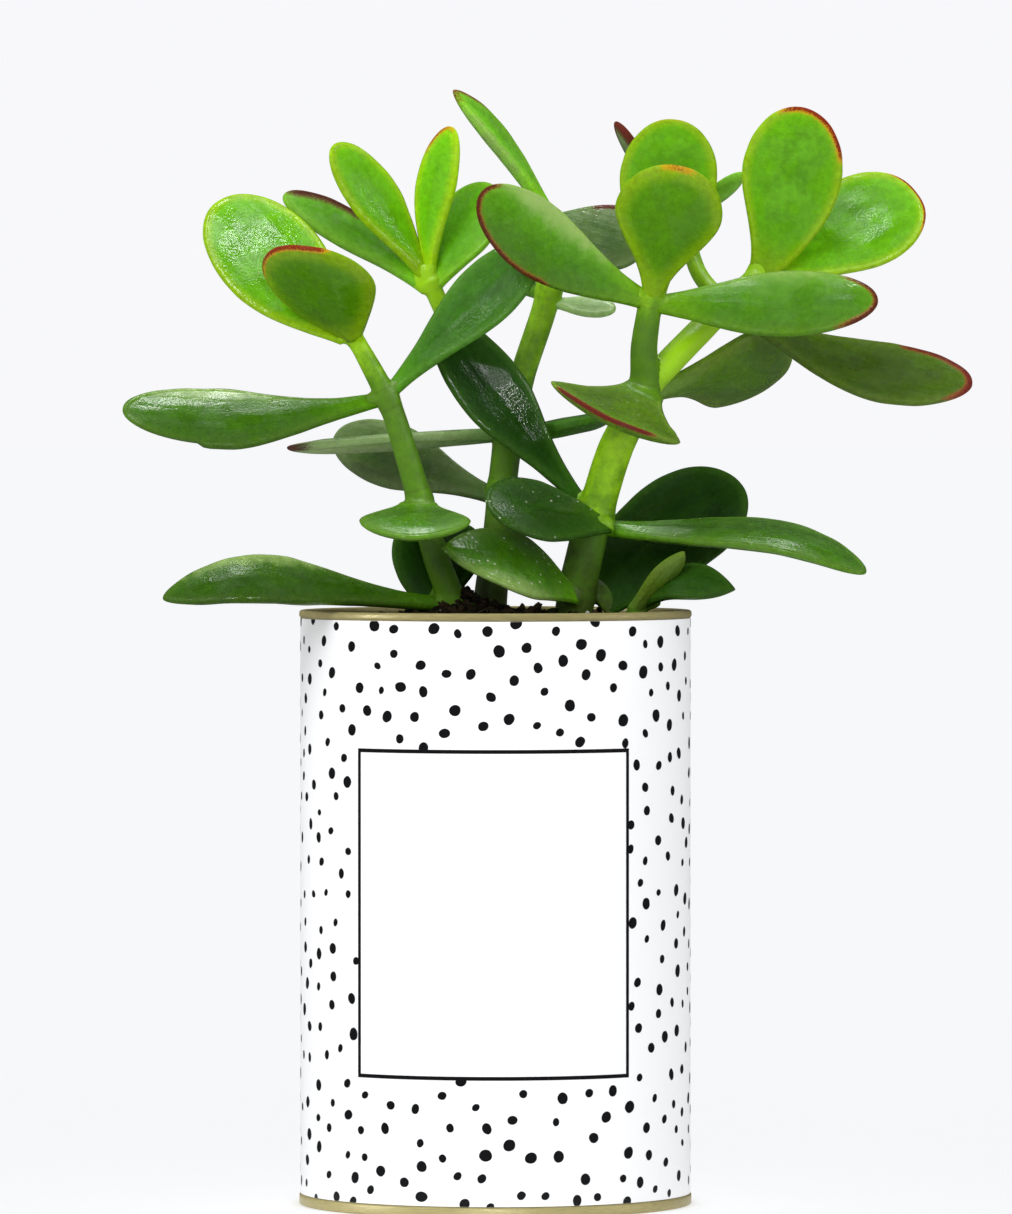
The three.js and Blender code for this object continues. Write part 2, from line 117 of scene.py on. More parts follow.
# Camera: its place in metres, the photo's height and the focal length in pixels, and how many
# pixels its level line lies above the photo's middle
CAMERA_PLACE = (0.00197, -1.85, 0.1469)
PHOTO_HEIGHT = 1214
FOCAL = 9947
LEVEL_LINE = 193
SENSOR = 36

# Floor: how far its two parts reach, in metres
FLOOR_NEAR, FLOOR_FAR = 0.06, 40
FLOOR_SIDES = 96


def branch(joints, *rows):
    """A limb from rows of x, y, z, radius and how young and bright its bark is, from 0 to 1.

    Joints are the numbers of the rows where leaves grow.
    """
    table = np.array(rows, float)
    return SimpleNamespace(
        points=table[:, :3], radii=table[:, 3], young=table[:, 4], joints=joints)


STEMS = {
    "stem_left": [
        branch([3, 5, 7], (-6, -5.6, 97, 2.5, 0.35), (-7.5, -6, 110.2, 2.6, 0.42),
            (-10.8, -6.5, 119.8, 2.5, 0.33), (-14, -7, 131, 2.4, 0.45),
            (-17.3, -7, 142.1, 2.2, 0.4), (-20, -7, 149.7, 2.1, 0.38),
            (-24.8, -7, 158.8, 1.7, 0.8), (-27, -7, 162, 1.7, 0.9)),
    ],
    "stem_middle": [
        branch([3, 4, 6, 7], (-1.4, 5.6, 97, 3.2, 0), (-1, 6, 111.4, 3.2, 0),
            (0.3, 7, 122.4, 2.9, 0.18), (1.2, 8, 132.7, 2.7, 0.36), (2.5, 9, 142.6, 2.8, 0.34),
            (5.1, 11, 154.2, 2.4, 0.63), (10, 13, 170.1, 2.4, 0.8), (10.7, 14, 184.2, 1.8, 0.8)),
        branch([3], (2.5, 9, 142.6, 2.2, 0.3), (-2.9, 9, 152.3, 2, 0.5),
            (-8.5, 7, 163.5, 1.8, 0.75), (-12.4, 5, 171.9, 1.7, 1)),
    ],
    "stem_right": [
        branch([3, 5, 7], (13.6, 0, 97, 3.6, 0), (14.8, 0, 111.6, 3.6, 0.1),
            (16.6, -1, 120.7, 3.5, 0.2), (18.5, -1, 128.1, 3.4, 0.6), (22.2, -2, 140.2, 3.3, 0.8),
            (27.3, -3, 151, 2.9, 0.48), (27.6, -5, 159.7, 2.5, 0.27),
            (28.9, -6, 168.6, 2.2, 0.68)),
        branch([4], (27.3, -3, 151, 2.4, 0.8), (32.6, -1, 156.8, 2.6, 1), (38.4, 2, 162.7, 2.5, 1),
            (45.5, 5, 169.6, 2.1, 1), (48.8, 6, 172.3, 2, 1)),
        branch([3], (43, 4, 167, 1.7, 0.9), (38.2, 8, 172.8, 1.6, 0.8), (36, 12, 179.3, 1.5, 0.7),
            (34.2, 14, 184.2, 1.4, 0.6)),
    ],
    "stem_offshoot": [
        branch([2], (26, -6, 98, 1.9, 0.2), (26, -6, 106, 1.9, 0.3), (26.1, -6, 110.4, 1.7, 0.3)),
    ],
}

# What a leaf has unless its entry says otherwise. Names go without their leaf_. Widest is where
# along it the blade is widest, neck how narrow its foot is for its width, and rise and blunt
# shape the outline before and after. Bow and sway are shares of the length by which the midrib
# leaves the straight line from base to tip: bow towards the upper side and sway to the right,
# most at peak. Cup lifts the margins, as a share of the half width. Nick is a cut in a margin:
# its start, depth and side. Ragged is how far the margin wanders. Light makes a leaf paler or
# darker, as its own colour and on some leaves as painted light. Shade paints light and shade
# across the blade: its higher half paler with a painted sheen, its lower half darker. Speckle
# dusts it white. Blush is the direction, from the blade's middle, in which the margin turns red
# or brown, reach how far round it does so (1 is a point, -1 all round), and rim the width of
# that margin.
PLAIN = dict(
    widest=0.62, neck=0.24, rise=1.5, blunt=0.5, thick=3, bow=0, peak=0.5, sway=0, cup=0.08,
    nick=None, ragged=0.1, look="mid", light=1, shade=0.3, speckle=0, blush=(0, 0, 1), reach=1.5,
    rim=0.8,
)


def blade(base, tip, face, width, **more):
    """A leaf from its foot to its tip, the way that its upper side faces, and what isn't plain."""
    return SimpleNamespace(base=base, tip=tip, face=face, width=width, **{**PLAIN, **more})


LEFT_LEAVES = {
    "left_reach": blade((-20.2, -7, 149.9), (-68.7, -16, 147.4), (0, -0.75, 0.65), 15, neck=0.2,
        rise=1.9, bow=-0.09, nick=(0.71, 1.3, -1), light=0.85, shade=0.9),
    "left_inner": blade((-19.9, -7, 150.6), (8.3, -7, 178.2), (-0.5, -0.8, 0.3), 14.2, widest=0.66,
        neck=0.2, rise=1.7, sway=-0.01, look="deep", light=1.3),
    "left_top_back": blade((-27.2, -7, 161.3), (-51.1, 1.5, 186.8), (0.2, -0.85, 0.45), 21.2,
        widest=0.58, rise=1.1, sway=-0.035, look="lime"),
    "left_top_front": blade((-26.4, -8, 161.2), (-34.6, -26, 177.6), (0.2, 0.45, 0.9), 21.8,
        widest=0.6, neck=0.2, rise=0.95, sway=0.06, look="lime", light=0.72, blush=(-0.4, 0, 0.9),
        reach=0.4, rim=0.75),
    "left_mid_front": blade((-14.3, -8, 129.9), (-15.1, -30, 124.2), (0, -0.3, 0.95), 20.5,
        widest=0.6, neck=0.35, light=1.2, speckle=0.5),
    "left_mid_back": blade((-14, -6, 129.5), (-17, 15, 125.5), (0, 0.2, 0.98), 15, widest=0.6,
        neck=0.35),
    "left_foot_long": blade((-8.8, -7, 111.8), (-60.9, -28, 113), (0, -0.7, 0.7), 12.8, rise=2.2,
        blunt=0.6, bow=0.09, peak=0.66, light=0.6, shade=1),
    "left_foot_small": blade((-10.8, -5, 111), (-16.9, -3, 126), (0.3, -0.9, 0.3), 10.4,
        widest=0.5, neck=0.7, look="dark", light=1.3),
    "left_foot_inner": blade((-8.1, -5, 112.4), (-5.5, 1, 126.4), (0, -0.9, -0.3), 8, widest=0.6,
        look="dark"),
}
MIDDLE_LEAVES = {
    "middle_low_left": blade((0.9, 8, 131.1), (-30.2, 18, 143), (0.2, -0.9, 0.3), 13.4,
        widest=0.66, rise=1.9, look="dull", light=1.1, shade=0.6),
    "middle_low_right": blade((1.4, 8, 129.5), (17, 27, 130.5), (0, 0, 1), 12),
    "middle_left": blade((2, 9, 143.4), (-38.8, 2, 140.6), (0, 0, 1), 13, widest=0.55, thick=3.3,
        look="dull", light=2.3, shade=0.8, blush=(-1, 0, 0), reach=0.9, rim=1.2),
    "middle_right": blade((3.1, 9, 143), (22, 10, 146.5), (0, 0, 1), 10, widest=0.6, thick=3.5,
        look="deep", light=1.2),
    "crown_left_up": blade((-12.6, 5, 171.9), (-30.2, 3, 197), (0.5, -0.8, 0.4), 12, sway=0.02,
        look="lime", blush=(-0.9, 0, 0.4), reach=0.98, rim=0.7),
    "crown_right_up": blade((-12.3, 5, 171.9), (-8, 2, 200.3), (-0.6, -0.8, 0), 9.1, sway=-0.06,
        look="lime", light=1.3, reach=0.93, rim=0.9),
    "crown_left_out": blade((-12.8, 5, 170.3), (-39.6, 7, 187.7), (0.2, -0.6, 0.75), 11, sway=0.05,
        light=2, shade=0.7, blush=(0.15, 0, 1), reach=0.4, rim=2.6),
    "crown_right_out": blade((-12.2, 5, 169.6), (-0.6, 9, 189.8), (-0.4, -0.9, 0.2), 12.6,
        sway=-0.01, look="fresh", light=1.6),
    "spear": blade((10.8, 14, 183.6), (-7.9, 9, 207.4), (0.5, -0.5, 0.7), 7, blunt=0.7, sway=0.05,
        cup=0.3, look="fresh", light=1.5, shade=-1.3, blush=(-0.6, 0, 0.8), reach=0.92, rim=0.9),
    "spear_pair": blade((10.8, 14, 182.9), (28, 8, 177.4), (0.1, -0.9, 0.4), 14, rise=1,
        look="dull", light=1.2, reach=0.1, rim=1.3),
    # Its light of 3.5 stands in for a pale sheen over the whole leaf: painted light.
    "branch_small": blade((9.8, 13, 168), (22.4, 9, 166.2), (0, -0.5, 0.9), 7.2, thick=2.2,
        look="dull", light=3.5),
    "branch_back": blade((9.3, 13, 169), (0, 31, 173.5), (0, 0, 1), 8, thick=2.4),
}
RIGHT_LEAVES = {
    "right_crossing": blade((16.8, -1, 129.4), (-10.7, 0.5, 164.3), (0.3, -0.9, 0.3), 14.2,
        neck=0.2, rise=2, blunt=0.45, sway=-0.01, look="dark", light=1.3),
    "right_low_left": blade((21.2, -4.5, 126.3), (-1.8, -14, 130.6), (0, -0.7, 0.7), 16,
        widest=0.6, rise=1.2, ragged=0.3, look="deep", light=0.58, speckle=1),
    "right_low_right": blade((19.3, -1, 126), (68.5, -12, 117.5), (0, -0.35, 0.93), 15, widest=0.6,
        neck=0.3, rise=1.3, bow=0.072, peak=0.65),
    "right_foot_back": blade((18.3, 1.5, 112.8), (46, 9, 133.8), (-0.2, -0.9, 0.4), 20.5,
        neck=0.55, rise=1.05, sway=-0.03, look="dark"),
    "right_foot_front": blade((15, -3, 112.8), (-9.9, -16, 122.2), (0, -0.75, 0.65), 15,
        widest=0.48, rise=1.3, blunt=0.75, bow=0.09, ragged=0.3, shade=-1, speckle=1),
    "right_mid_back": blade((28.8, -2, 150.8), (55, 22, 155.4), (-0.3, 0.7, 0.65), 19, rise=2.1,
        sway=0.05, look="olive", light=1.3),
    "right_mid_front": blade((27.6, -4, 151), (20.2, -28, 146.4), (0.36, -0.3, 0.88), 26.5,
        widest=0.72, neck=0.3, bow=-0.08, ragged=0.4, look="olive", light=1.45, speckle=0.4,
        blush=(-0.3, -0.95, 0), reach=0.55, rim=0.5),
    "centre_left": blade((28.7, -6, 167.5), (-2.6, -14, 187.9), (0.2, -0.95, 0.2), 14.5,
        widest=0.66, sway=-0.055, look="fresh", light=0.86, shade=1.2, blush=(-0.85, 0, -0.35),
        reach=0.2, rim=0.9),
    "centre_right": blade((29.4, -6, 167.3), (70.7, -12, 167.8), (0, -0.8, 0.6), 15.3, widest=0.6,
        rise=1.3, sway=0.02, look="fresh", light=0.8, shade=0.75, blush=(1, 0, -0.1), reach=0.8,
        rim=1),
    "centre_front": blade((29, -7, 168.8), (33.8, -18, 192.6), (0, 0.9, 0.4), 19.9, neck=0.2,
        rise=1.7, look="lime", light=0.8, shade=0, blush=(0.18, -0.42, 0.89), reach=0.95, rim=1.2),
    "centre_back": blade((29.4, -5, 168.8), (33.6, 6, 201.8), (0, -0.95, 0.3), 18.1, widest=0.66,
        look="lime", light=0.8, shade=0, blush=(0.1, 0, 1), reach=0.96, rim=0.5),
    "far_low": blade((43.4, 4, 167.2), (88.7, 2, 152.1), (0.2, -0.75, 0.65), 15.5, widest=0.68,
        neck=0.2, rise=1.8, bow=-0.11, look="olive", light=0.9, shade=0.4, blush=(0.9, 0, 0.2),
        reach=0.75, rim=1.3),
    "far_back": blade((43.8, 4.6, 167.8), (46, 34, 169.5), (0, 0, 1), 14, widest=0.64,
        look="fresh"),
    "far_up": blade((48.6, 6, 171.9), (56.5, 0, 204), (0, -0.95, 0.2), 18.7, widest=0.64, rise=1.3,
        peak=0.4, sway=0.065, look="lime", light=0.95, blush=(0.55, 0, 0.85), reach=0.7, rim=1),
    "far_side": blade((49.4, 6, 171.7), (79, 14, 188.2), (-0.2, -0.9, 0.4), 20.2, widest=0.66,
        blunt=0.45, look="lime", light=1.05, blush=(0.9, 0, 0.5), reach=0.8, rim=0.5),
    "rear_left": blade((33.9, 14, 182.9), (22.4, 12, 201.6), (0.5, 0.5, 0.6), 4.6, thick=2.2,
        look="dull", blush=(-0.8, 0, 0.4), reach=0, rim=1.2),
    "rear_right": blade((34.4, 14, 182.9), (46.6, 15, 192), (-0.4, 0.5, 0.8), 5, look="fresh",
        light=1.7),
}
OFFSHOOT_LEAVES = {
    "offshoot_up": blade((25.6, -6.5, 110.6), (34.9, -13, 121.5), (-0.5, 0.6, 0.6), 6, neck=0.5,
        blunt=0.8, thick=2.6, look="olive", shade=1.2),
    "offshoot_side": blade((26.8, -6, 111.4), (44.4, -10, 114.4), (0, -0.7, 0.7), 9.2, blunt=1,
        bow=0.22, look="deep", light=0.6),
}
LEAVES = {
    "stem_left": LEFT_LEAVES,
    "stem_middle": MIDDLE_LEAVES,
    "stem_right": RIGHT_LEAVES,
    "stem_offshoot": OFFSHOOT_LEAVES,
}

# Leaf colours, from the blade's middle outwards: centre, body, glow at the thin margin. The
# darker centre is painted shade and the paler glow painted light, for light through a thick
# middle and a thin margin; glow also colours the veins and pores. Stalk is the foot of the
# blade, under its lower side, darker than the body on lime leaves as partly painted shade, and
# edge the margin where it blushes, with inner between it and the blade. Wrinkle is how creased
# the blade is, bloom how much pale wax lies on it, and shine the roughness of its gloss.
Look = namedtuple("Look", "centre body glow stalk under edge inner wrinkle bloom shine")
LOOKS = {
    # lime's darker under colour is partly painted shade on the lower side
    "lime": Look((0.085, 0.29, 0.002), (0.125, 0.4, 0.004), (0.28, 0.47, 0.006),
        (0.27, 0.48, 0.003), (0.09, 0.27, 0.002), (0.22, 0.022, 0.004), (0.52, 0.3, 0.008), 0, 0,
        0.19),
    "fresh": Look((0.06, 0.21, 0.004), (0.08, 0.26, 0.006), (0.13, 0.32, 0.012),
        (0.16, 0.38, 0.004), (0.2, 0.36, 0.06), (0.09, 0.018, 0.006), (0.2, 0.1, 0.015), 0.15,
        0.15, 0.21),
    "mid": Look((0.034, 0.115, 0.003), (0.048, 0.16, 0.004), (0.085, 0.2, 0.012),
        (0.1, 0.3, 0.004), (0.14, 0.26, 0.05), (0.08, 0.018, 0.01), (0.12, 0.1, 0.02), 0.25, 0.25,
        0.22),
    "deep": Look((0.02, 0.08, 0.004), (0.03, 0.115, 0.006), (0.05, 0.15, 0.012),
        (0.06, 0.2, 0.006), (0.06, 0.14, 0.03), (0.14, 0.07, 0.02), (0.1, 0.12, 0.02), 0.3, 0.08,
        0.2),
    "dark": Look((0.005, 0.026, 0.001), (0.008, 0.037, 0.002), (0.025, 0.075, 0.006),
        (0.02, 0.08, 0.004), (0.03, 0.08, 0.02), (0.06, 0.05, 0.01), (0.05, 0.07, 0.01), 0.2, 0.03,
        0.15),
    "olive": Look((0.045, 0.095, 0.004), (0.062, 0.13, 0.006), (0.1, 0.17, 0.015),
        (0.1, 0.2, 0.02), (0.05, 0.125, 0.004), (0.13, 0.016, 0.01), (0.2, 0.06, 0.015), 0.6, 0.3,
        0.26),
    "dull": Look((0.05, 0.105, 0.025), (0.08, 0.14, 0.035), (0.13, 0.19, 0.07), (0.07, 0.15, 0.03),
        (0.15, 0.2, 0.09), (0.13, 0.02, 0.012), (0.1, 0.06, 0.03), 0.9, 0.4, 0.3),
}

# Lights: place and size in metres, power in watts. A glint is seen only as a reflection, in the
# leaves that it names and in the bark. The tin's own lights reach its last so many pieces.
LIGHT_AIM = (0, 0, 0.15)
BODY_LIGHTS = {
    "overhead": ((0, 0.35, 1.3), (1.6, 1.2), 16),
    "key": ((-0.75, -1.15, 0.95), (0.9, 0.9), 16),
    "fill": ((1.0, -0.9, 0.5), (0.6, 0.9), 5),
}
GLINTS = {
    "top_glint": ((0.16, -0.58, 1.35), (0.6, 0.14), 6, ["left_top_back"]),
    "over_glint": ((0, -0.05, 1.5), (0.7, 0.3), 6, ["right_low_left", "right_foot_front"]),
    "side_glint": ((-0.05, -0.56, 1.37), (0.2, 0.08), 1.6, ["far_side"]),
    "rear_glint": ((0.07, 0.5, 1.4), (0.5, 0.3), 6,
        ["left_reach", "left_foot_long", "centre_right", "branch_small", "middle_left",
         "left_mid_front", "spear_pair", "right_low_right"]),
    "right_glint": ((1.1, -0.34, 0.85), (0.12, 0.12), 0.8, ["crown_left_up", "right_mid_front"]),
    "front_glint": ((0.84, -0.68, 0.96), (0.06, 0.06), 1.6,
        ["right_crossing", "right_low_left", "right_foot_front"]),
    "left_glint": ((-0.8, -0.66, 1.01), (0.05, 0.05), 0.7,
        ["left_inner", "crown_right_out", "offshoot_side"]),
}
TIN_LIGHTS = {
    "tin_left": ((-1.3, -0.3, 0.25), (0.5, 0.5), 9, 2),
    "tin_right": ((1.3, -0.3, 0.25), (0.5, 0.5), 2, 2),
    "seam_front": ((0, -1.4, 0.12), (0.5, 0.3), 8, 1),
}

INK = (0.006, 0.006, 0.007)
WORN_INK = (0.02, 0.02, 0.022)
DUST = (0.5, 0.56, 0.42)
# Painted sheen laid on the leaves' higher sides, for reflected light.
PAINTED_SHEEN = (0.27, 0.4, 0.11)
PAPER = (0.93, 0.93, 0.935)
LACQUER = (0.33, 0.285, 0.12)


class Nodes:
    """A new material's node tree, with short ways to add and link its nodes."""

    def __init__(self, name):
        self.material = bpy.data.materials.new(name)
        self.material.use_nodes = True
        self.tree = self.material.node_tree
        self.shader = self.tree.nodes["Principled BSDF"]

    def add(self, kind, inputs, **settings):
        node = self.tree.nodes.new("ShaderNode" + kind)
        for key, value in settings.items():
            setattr(node, key, value)
        for key, value in inputs.items():
            self.put(node, key, value)
        return node

    def put(self, node, key, value):
        socket = node.inputs[key]
        if isinstance(value, bpy.types.NodeSocket):
            self.tree.links.new(value, socket)
        elif isinstance(value, tuple) and len(socket.default_value) == 4:
            socket.default_value = (*value, 1)
        else:
            socket.default_value = value

    def surface(self, **inputs):
        """Sets the shader's inputs, each by its name in small letters."""
        for key, value in inputs.items():
            self.put(self.shader, key.replace("_", " ").title().replace("Ior", "IOR"), value)

    def place(self):
        return self.add("TexCoord", {}).outputs["Object"]

    def noise(self, size, detail=2, rough=0.5, where=None):
        """Noise from 0 to 1 whose features are size millimetres across."""
        inputs = {"Scale": 1 / (size * MM), "Detail": detail, "Roughness": rough}
        inputs["Vector"] = where or self.place()
        return self.add("TexNoise", inputs).outputs["Fac"]

    def cells(self, size):
        """Distance from the nearest of points that lie about size millimetres apart."""
        inputs = {"Scale": 1 / (size * MM), "Vector": self.place()}
        return self.add("TexVoronoi", inputs).outputs["Distance"]

    def ramp(self, value, low, high, start=0.0, end=1.0):
        """Start where value is low or less, end where it is high or more, smooth between."""
        inputs = {0: value, 1: low, 2: high, 3: start, 4: end}
        return self.add("MapRange", inputs, interpolation_type="SMOOTHSTEP").outputs[0]

    def sum(self, first, second, how="ADD"):
        """The sum of two values, or what another kind of Math node makes of them."""
        return self.add("Math", {0: first, 1: second}, operation=how).outputs[0]

    def times(self, first, second):
        return self.sum(first, second, "MULTIPLY")

    def swing(self, value, reach):
        """Noise moved to lie about zero, reach from one end to the other."""
        return self.times(self.sum(value, 0.5, "SUBTRACT"), reach)

    def mix(self, share, first, second):
        """A colour that goes from first to second as share goes from 0 to 1."""
        inputs = {0: share, 6: first, 7: second}
        return self.add("Mix", inputs, data_type="RGBA").outputs[2]

    def mix_value(self, share, first, second):
        """A number that goes from first to second as share goes from 0 to 1."""
        return self.add("Mix", {0: share, 2: first, 3: second}).outputs[0]

    def lit(self, colour, value):
        """The colour made darker or lighter."""
        return self.add("HueSaturation", {"Color": colour, "Value": value}).outputs[0]

    def fact(self, name):
        """The three numbers that the mesh holds for each point under this name."""
        vector = self.add("Attribute", {}, attribute_name=name).outputs["Vector"]
        return self.add("SeparateXYZ", {0: vector}).outputs

    def bump(self, height, rise, below=None):
        """A normal from a height of 0 to 1 that stands for rise millimetres."""
        inputs = {"Height": height, "Distance": rise * MM, "Strength": 1}
        if below:
            inputs["Normal"] = below
        return self.add("Bump", inputs).outputs["Normal"]


def placed(name, data):
    """A new object in the scene, with this mesh, light or camera."""
    thing = bpy.data.objects.new(name, data)
    bpy.context.collection.objects.link(thing)
    return thing


def piece(name, points, faces, material, slot, replaced=()):
    """An object from points in millimetres, in this material, in place of the named nodes.

    Slot is not used.
    """
    mesh = bpy.data.meshes.new(name)
    mesh.from_pydata((np.asarray(points, float) * MM).tolist(), [], faces)
    mesh.shade_smooth()
    mesh.materials.append(material)
    thing = placed(name, mesh)
    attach(thing, "root")
    if replaced:
        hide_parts(*replaced)
    return thing


def hold(mesh, name, values):
    """Keeps three numbers for each point of the mesh, for the material's fact()."""
    made = mesh.attributes.new(name, "FLOAT_VECTOR", "POINT")
    made.data.foreach_set("vector", np.asarray(values, np.float32).ravel())


def dimmed(colour, light):
    return tuple(c * light for c in colour)


def turns(count):
    """So many angles, evenly spread round a full turn."""
    return np.linspace(0, tau, count, endpoint=False)


def unit(values):
    values = np.asarray(values, float)
    return values / np.linalg.norm(values, axis=-1, keepdims=True)


def smooth_step(low, high, value):
    share = np.clip((value - low) / (high - low), 0, 1)
    return share * share * (3 - 2 * share)


def rough_at(points, size, seed=0):
    """Noise from -1 to 1 at each point, with features size millimetres across."""
    shift = Vector((seed * 7.3, seed * 3.1, seed * 5.7))
    return np.array([noise.noise(Vector(p) / size + shift) for p in points])


def grid_faces(rings, sides, closed=True):
    """The quads between rings of points, each ring sides long and following the one before."""
    faces = []
    for r in range(rings - 1):
        for k in range(sides if closed else sides - 1):
            low = r * sides + k
            next_low = r * sides + (k + 1) % sides
            faces.append((low, next_low, next_low + sides, low + sides))
    return faces


def skin_faces(rings, sides):
    """Faces of a closed skin: the rings, then a point for the foot and a point for the end."""
    faces = grid_faces(rings, sides)
    foot = rings * sides
    last = (rings - 1) * sides
    for k in range(sides):
        after = (k + 1) % sides
        faces.append((foot, after, k))
        faces.append((last + k, last + after, foot + 1))
    return faces


def joined(parts):
    """The points and faces of several parts, as one list of each."""
    points, faces = [], []
    for part_points, part_faces in parts:
        start = len(points)
        points.extend(part_points)
        faces.extend(tuple(start + i for i in face) for face in part_faces)
    return points, faces


# Leaves


def flesh_colour(n, colours, cloud, veins):
    """The blade's green: lower side, bloom, veins, pores and foot, with painted shade in its thick
    middle and painted light at its thin margin.
    """
    rim, _, share = n.fact("edge")
    under = n.fact("blade")[2]
    colour = n.mix(n.ramp(cloud, 0.35, 0.65), colours.centre, colours.body)
    # Painted shade: the body darkens to the centre colour away from the thin margin.
    inward = n.sum(rim, n.times(cloud, 2))
    colour = n.mix(n.ramp(inward, 2.2, 6.5), colours.body, colour)
    # The lower side's colour; on lime leaves it is darker, partly painted shade.
    colour = n.mix(n.times(under, 0.85), colour, colours.under)
    bloom = n.times(n.ramp(n.noise(3.2, detail=6, rough=0.7), 0.48, 0.75), colours.bloom)
    colour = n.mix(bloom, colour, tuple(0.6 * c + 0.07 for c in colours.under))
    streak = n.times(n.ramp(veins, 0.5, 0.75), 0.6 * colours.wrinkle)
    colour = n.mix(streak, colour, colours.glow)
    pores = n.ramp(n.cells(1.1), 0.1, 0.16, 0.3, 0)
    colour = n.mix(n.times(pores, n.ramp(rim, 0.5, 1.5)), colour, colours.glow)
    # Painted light: the thin margin turns to the glow colour, wider on the lower side.
    margin = n.sum(n.times(under, 1.8), 2.1)
    colour = n.mix(n.ramp(rim, 0.15, margin, 0.9, 0), colour, colours.glow)
    return n.mix(n.ramp(share, 0.02, 0.3, 0.9, 0), colour, colours.stalk)


def painted_light_and_tone(n, colour, cloud):
    """The colour mottled and dusted white, with painted light and sheen where the blade is high,
    and painted shade where it is low.
    """
    light, high, speckle = n.fact("tone")
    mottle = n.ramp(n.noise(1.2, detail=6, rough=0.7), 0.3, 0.7, 0.86, 1.14)
    # Painted light and shade: lighter towards the blade's higher side, darker towards its lower.
    light = n.times(light, n.sum(n.times(high, 0.4), 1))
    colour = n.lit(colour, n.times(light, mottle))
    # Painted sheen: a pale patchy wash towards the blade's higher side, for reflected light.
    sheen_share = n.sum(high, n.swing(n.noise(2.5, detail=4), 0.8))
    colour = n.mix(n.ramp(sheen_share, 0.3, 1.05, 0, 0.9), colour, PAINTED_SHEEN)
    dust = n.times(n.ramp(n.cells(1.3), 0.12, 0.22, 0.8, 0), n.ramp(cloud, 0.45, 0.6))
    return n.mix(n.times(dust, speckle), colour, DUST)


def blushed(n, colours, colour, grain):
    """The colour with its margin turned red or brown where the leaf blushes."""
    reach = n.sum(n.fact("edge")[1], n.swing(grain, 1.1))
    colour = n.mix(n.ramp(reach, 0.3, 0.75), colour, colours.inner)
    return n.mix(n.ramp(reach, 0.62, 1.05), colour, colours.edge)


def leaf_relief(n, colours, grain, cloud, stretched, veins):
    """The blade's swell, its folds along its length, the ridge at its margin and its skin."""
    rim = n.fact("edge")[0]
    ridge = n.times(n.ramp(rim, 0, 0.45), n.ramp(rim, 0.45, 1.1, 1, 0))
    folds = n.add("TexNoise", {"Vector": stretched, "Scale": 0.24, "Detail": 1}).outputs["Fac"]
    wrinkle = colours.wrinkle
    relief = None
    for height, rise in (
        (n.ramp(rim, 0, 7), 0.6), (cloud, 0.12), (folds, 0.45 + 0.3 * wrinkle),
        (n.times(ridge, n.noise(1.6)), 0.28), (veins, 0.22 * wrinkle + 0.02), (grain, 0.03),
        (n.noise(0.55, detail=1), 0.065),
    ):
        relief = n.bump(height, rise, relief)
    return relief


def leaf_material(look):
    colours = LOOKS[look]
    n = Nodes("leaf_" + look)
    grain = n.noise(0.32, detail=3, rough=0.6)
    cloud = n.noise(5, detail=3)
    across, along, under = n.fact("blade")
    stretched = n.add("CombineXYZ", {0: across, 1: n.times(along, 0.12), 2: under}).outputs[0]
    veins = n.add("TexNoise", {"Vector": stretched, "Scale": 1.1, "Detail": 4}).outputs["Fac"]
    colour = painted_light_and_tone(n, flesh_colour(n, colours, cloud, veins), cloud)
    wet = n.ramp(n.noise(6, detail=3), 0.44, 0.6)
    n.surface(
        base_color=blushed(n, colours, colour, grain),
        normal=leaf_relief(n, colours, grain, cloud, stretched, veins),
        roughness=n.mix_value(wet, 1.8 * colours.shine, 0.75 * colours.shine),
        specular_ior_level=0.5, subsurface_weight=0.18, subsurface_scale=0.0015,
        subsurface_radius=(0.5, 1.0, 0.1),
    )
    return n.material


def blade_width(leaf, t):
    """Half the blade's width at a share of its length."""
    up = np.clip(t / leaf.widest, 0, 1)
    down = np.clip((t - leaf.widest) / (1 - leaf.widest), 0, 1)
    neck = leaf.neck
    narrow = neck + (1 - neck) * np.sin(np.pi / 2 * up ** leaf.rise)
    round_end = (1 - down**2) ** leaf.blunt
    return leaf.width / 2 * np.where(t < leaf.widest, narrow, round_end)


def blade_thickness(leaf, t):
    end = np.clip((t - 0.75) / 0.25, 0, 1)
    return leaf.thick / 2 * (0.8 + 0.2 * np.sin(np.pi * t)) * np.sqrt(1 - end**2)


def leaf_axes(leaf):
    """The directions along the blade, out of its upper side and to its right, and its length."""
    reach = np.subtract(leaf.tip, leaf.base)
    length = np.linalg.norm(reach)
    along = reach / length
    up = unit(leaf.face - along * np.dot(leaf.face, along))
    return along, up, np.cross(along, up), length


def midrib(leaf, t):
    along, up, side, length = leaf_axes(leaf)
    arc = np.sin(np.pi * t ** (log(0.5) / log(leaf.peak)))
    lean = leaf.bow * up + leaf.sway * side
    return leaf.base + length * (np.outer(t, along) + np.outer(arc, lean))


def outline_gap(leaf, across, along, length):
    """How far each point of the blade lies from its outline, in millimetres."""
    t = np.sin(np.linspace(0, np.pi / 2, 160))
    half = blade_width(leaf, t)
    x = np.concatenate([half, -half])
    y = np.concatenate([t, t]) * length
    return np.hypot(across[:, None] - x, along[:, None] - y).min(axis=1)


def half_widths(leaf, t, across, seed):
    """Half the blade's width at each of its points, with a ragged margin and the nick."""
    length = leaf_axes(leaf)[3]
    half = blade_width(leaf, t)[:, None] * np.ones(len(across))
    wobble = rough_at([(a, b * length, 0) for b in t for a in across], 3.5, seed)
    half += leaf.ragged * wobble.reshape(half.shape) * smooth_step(0.2, 0.5, t)[:, None]
    if leaf.nick:
        place, deep, way = leaf.nick
        cut = smooth_step(place - 0.01, place + 0.02, t) * (1 - t) / (1 - place)
        half -= deep * cut[:, None] * (across * way > 0) * np.abs(across)
    return half


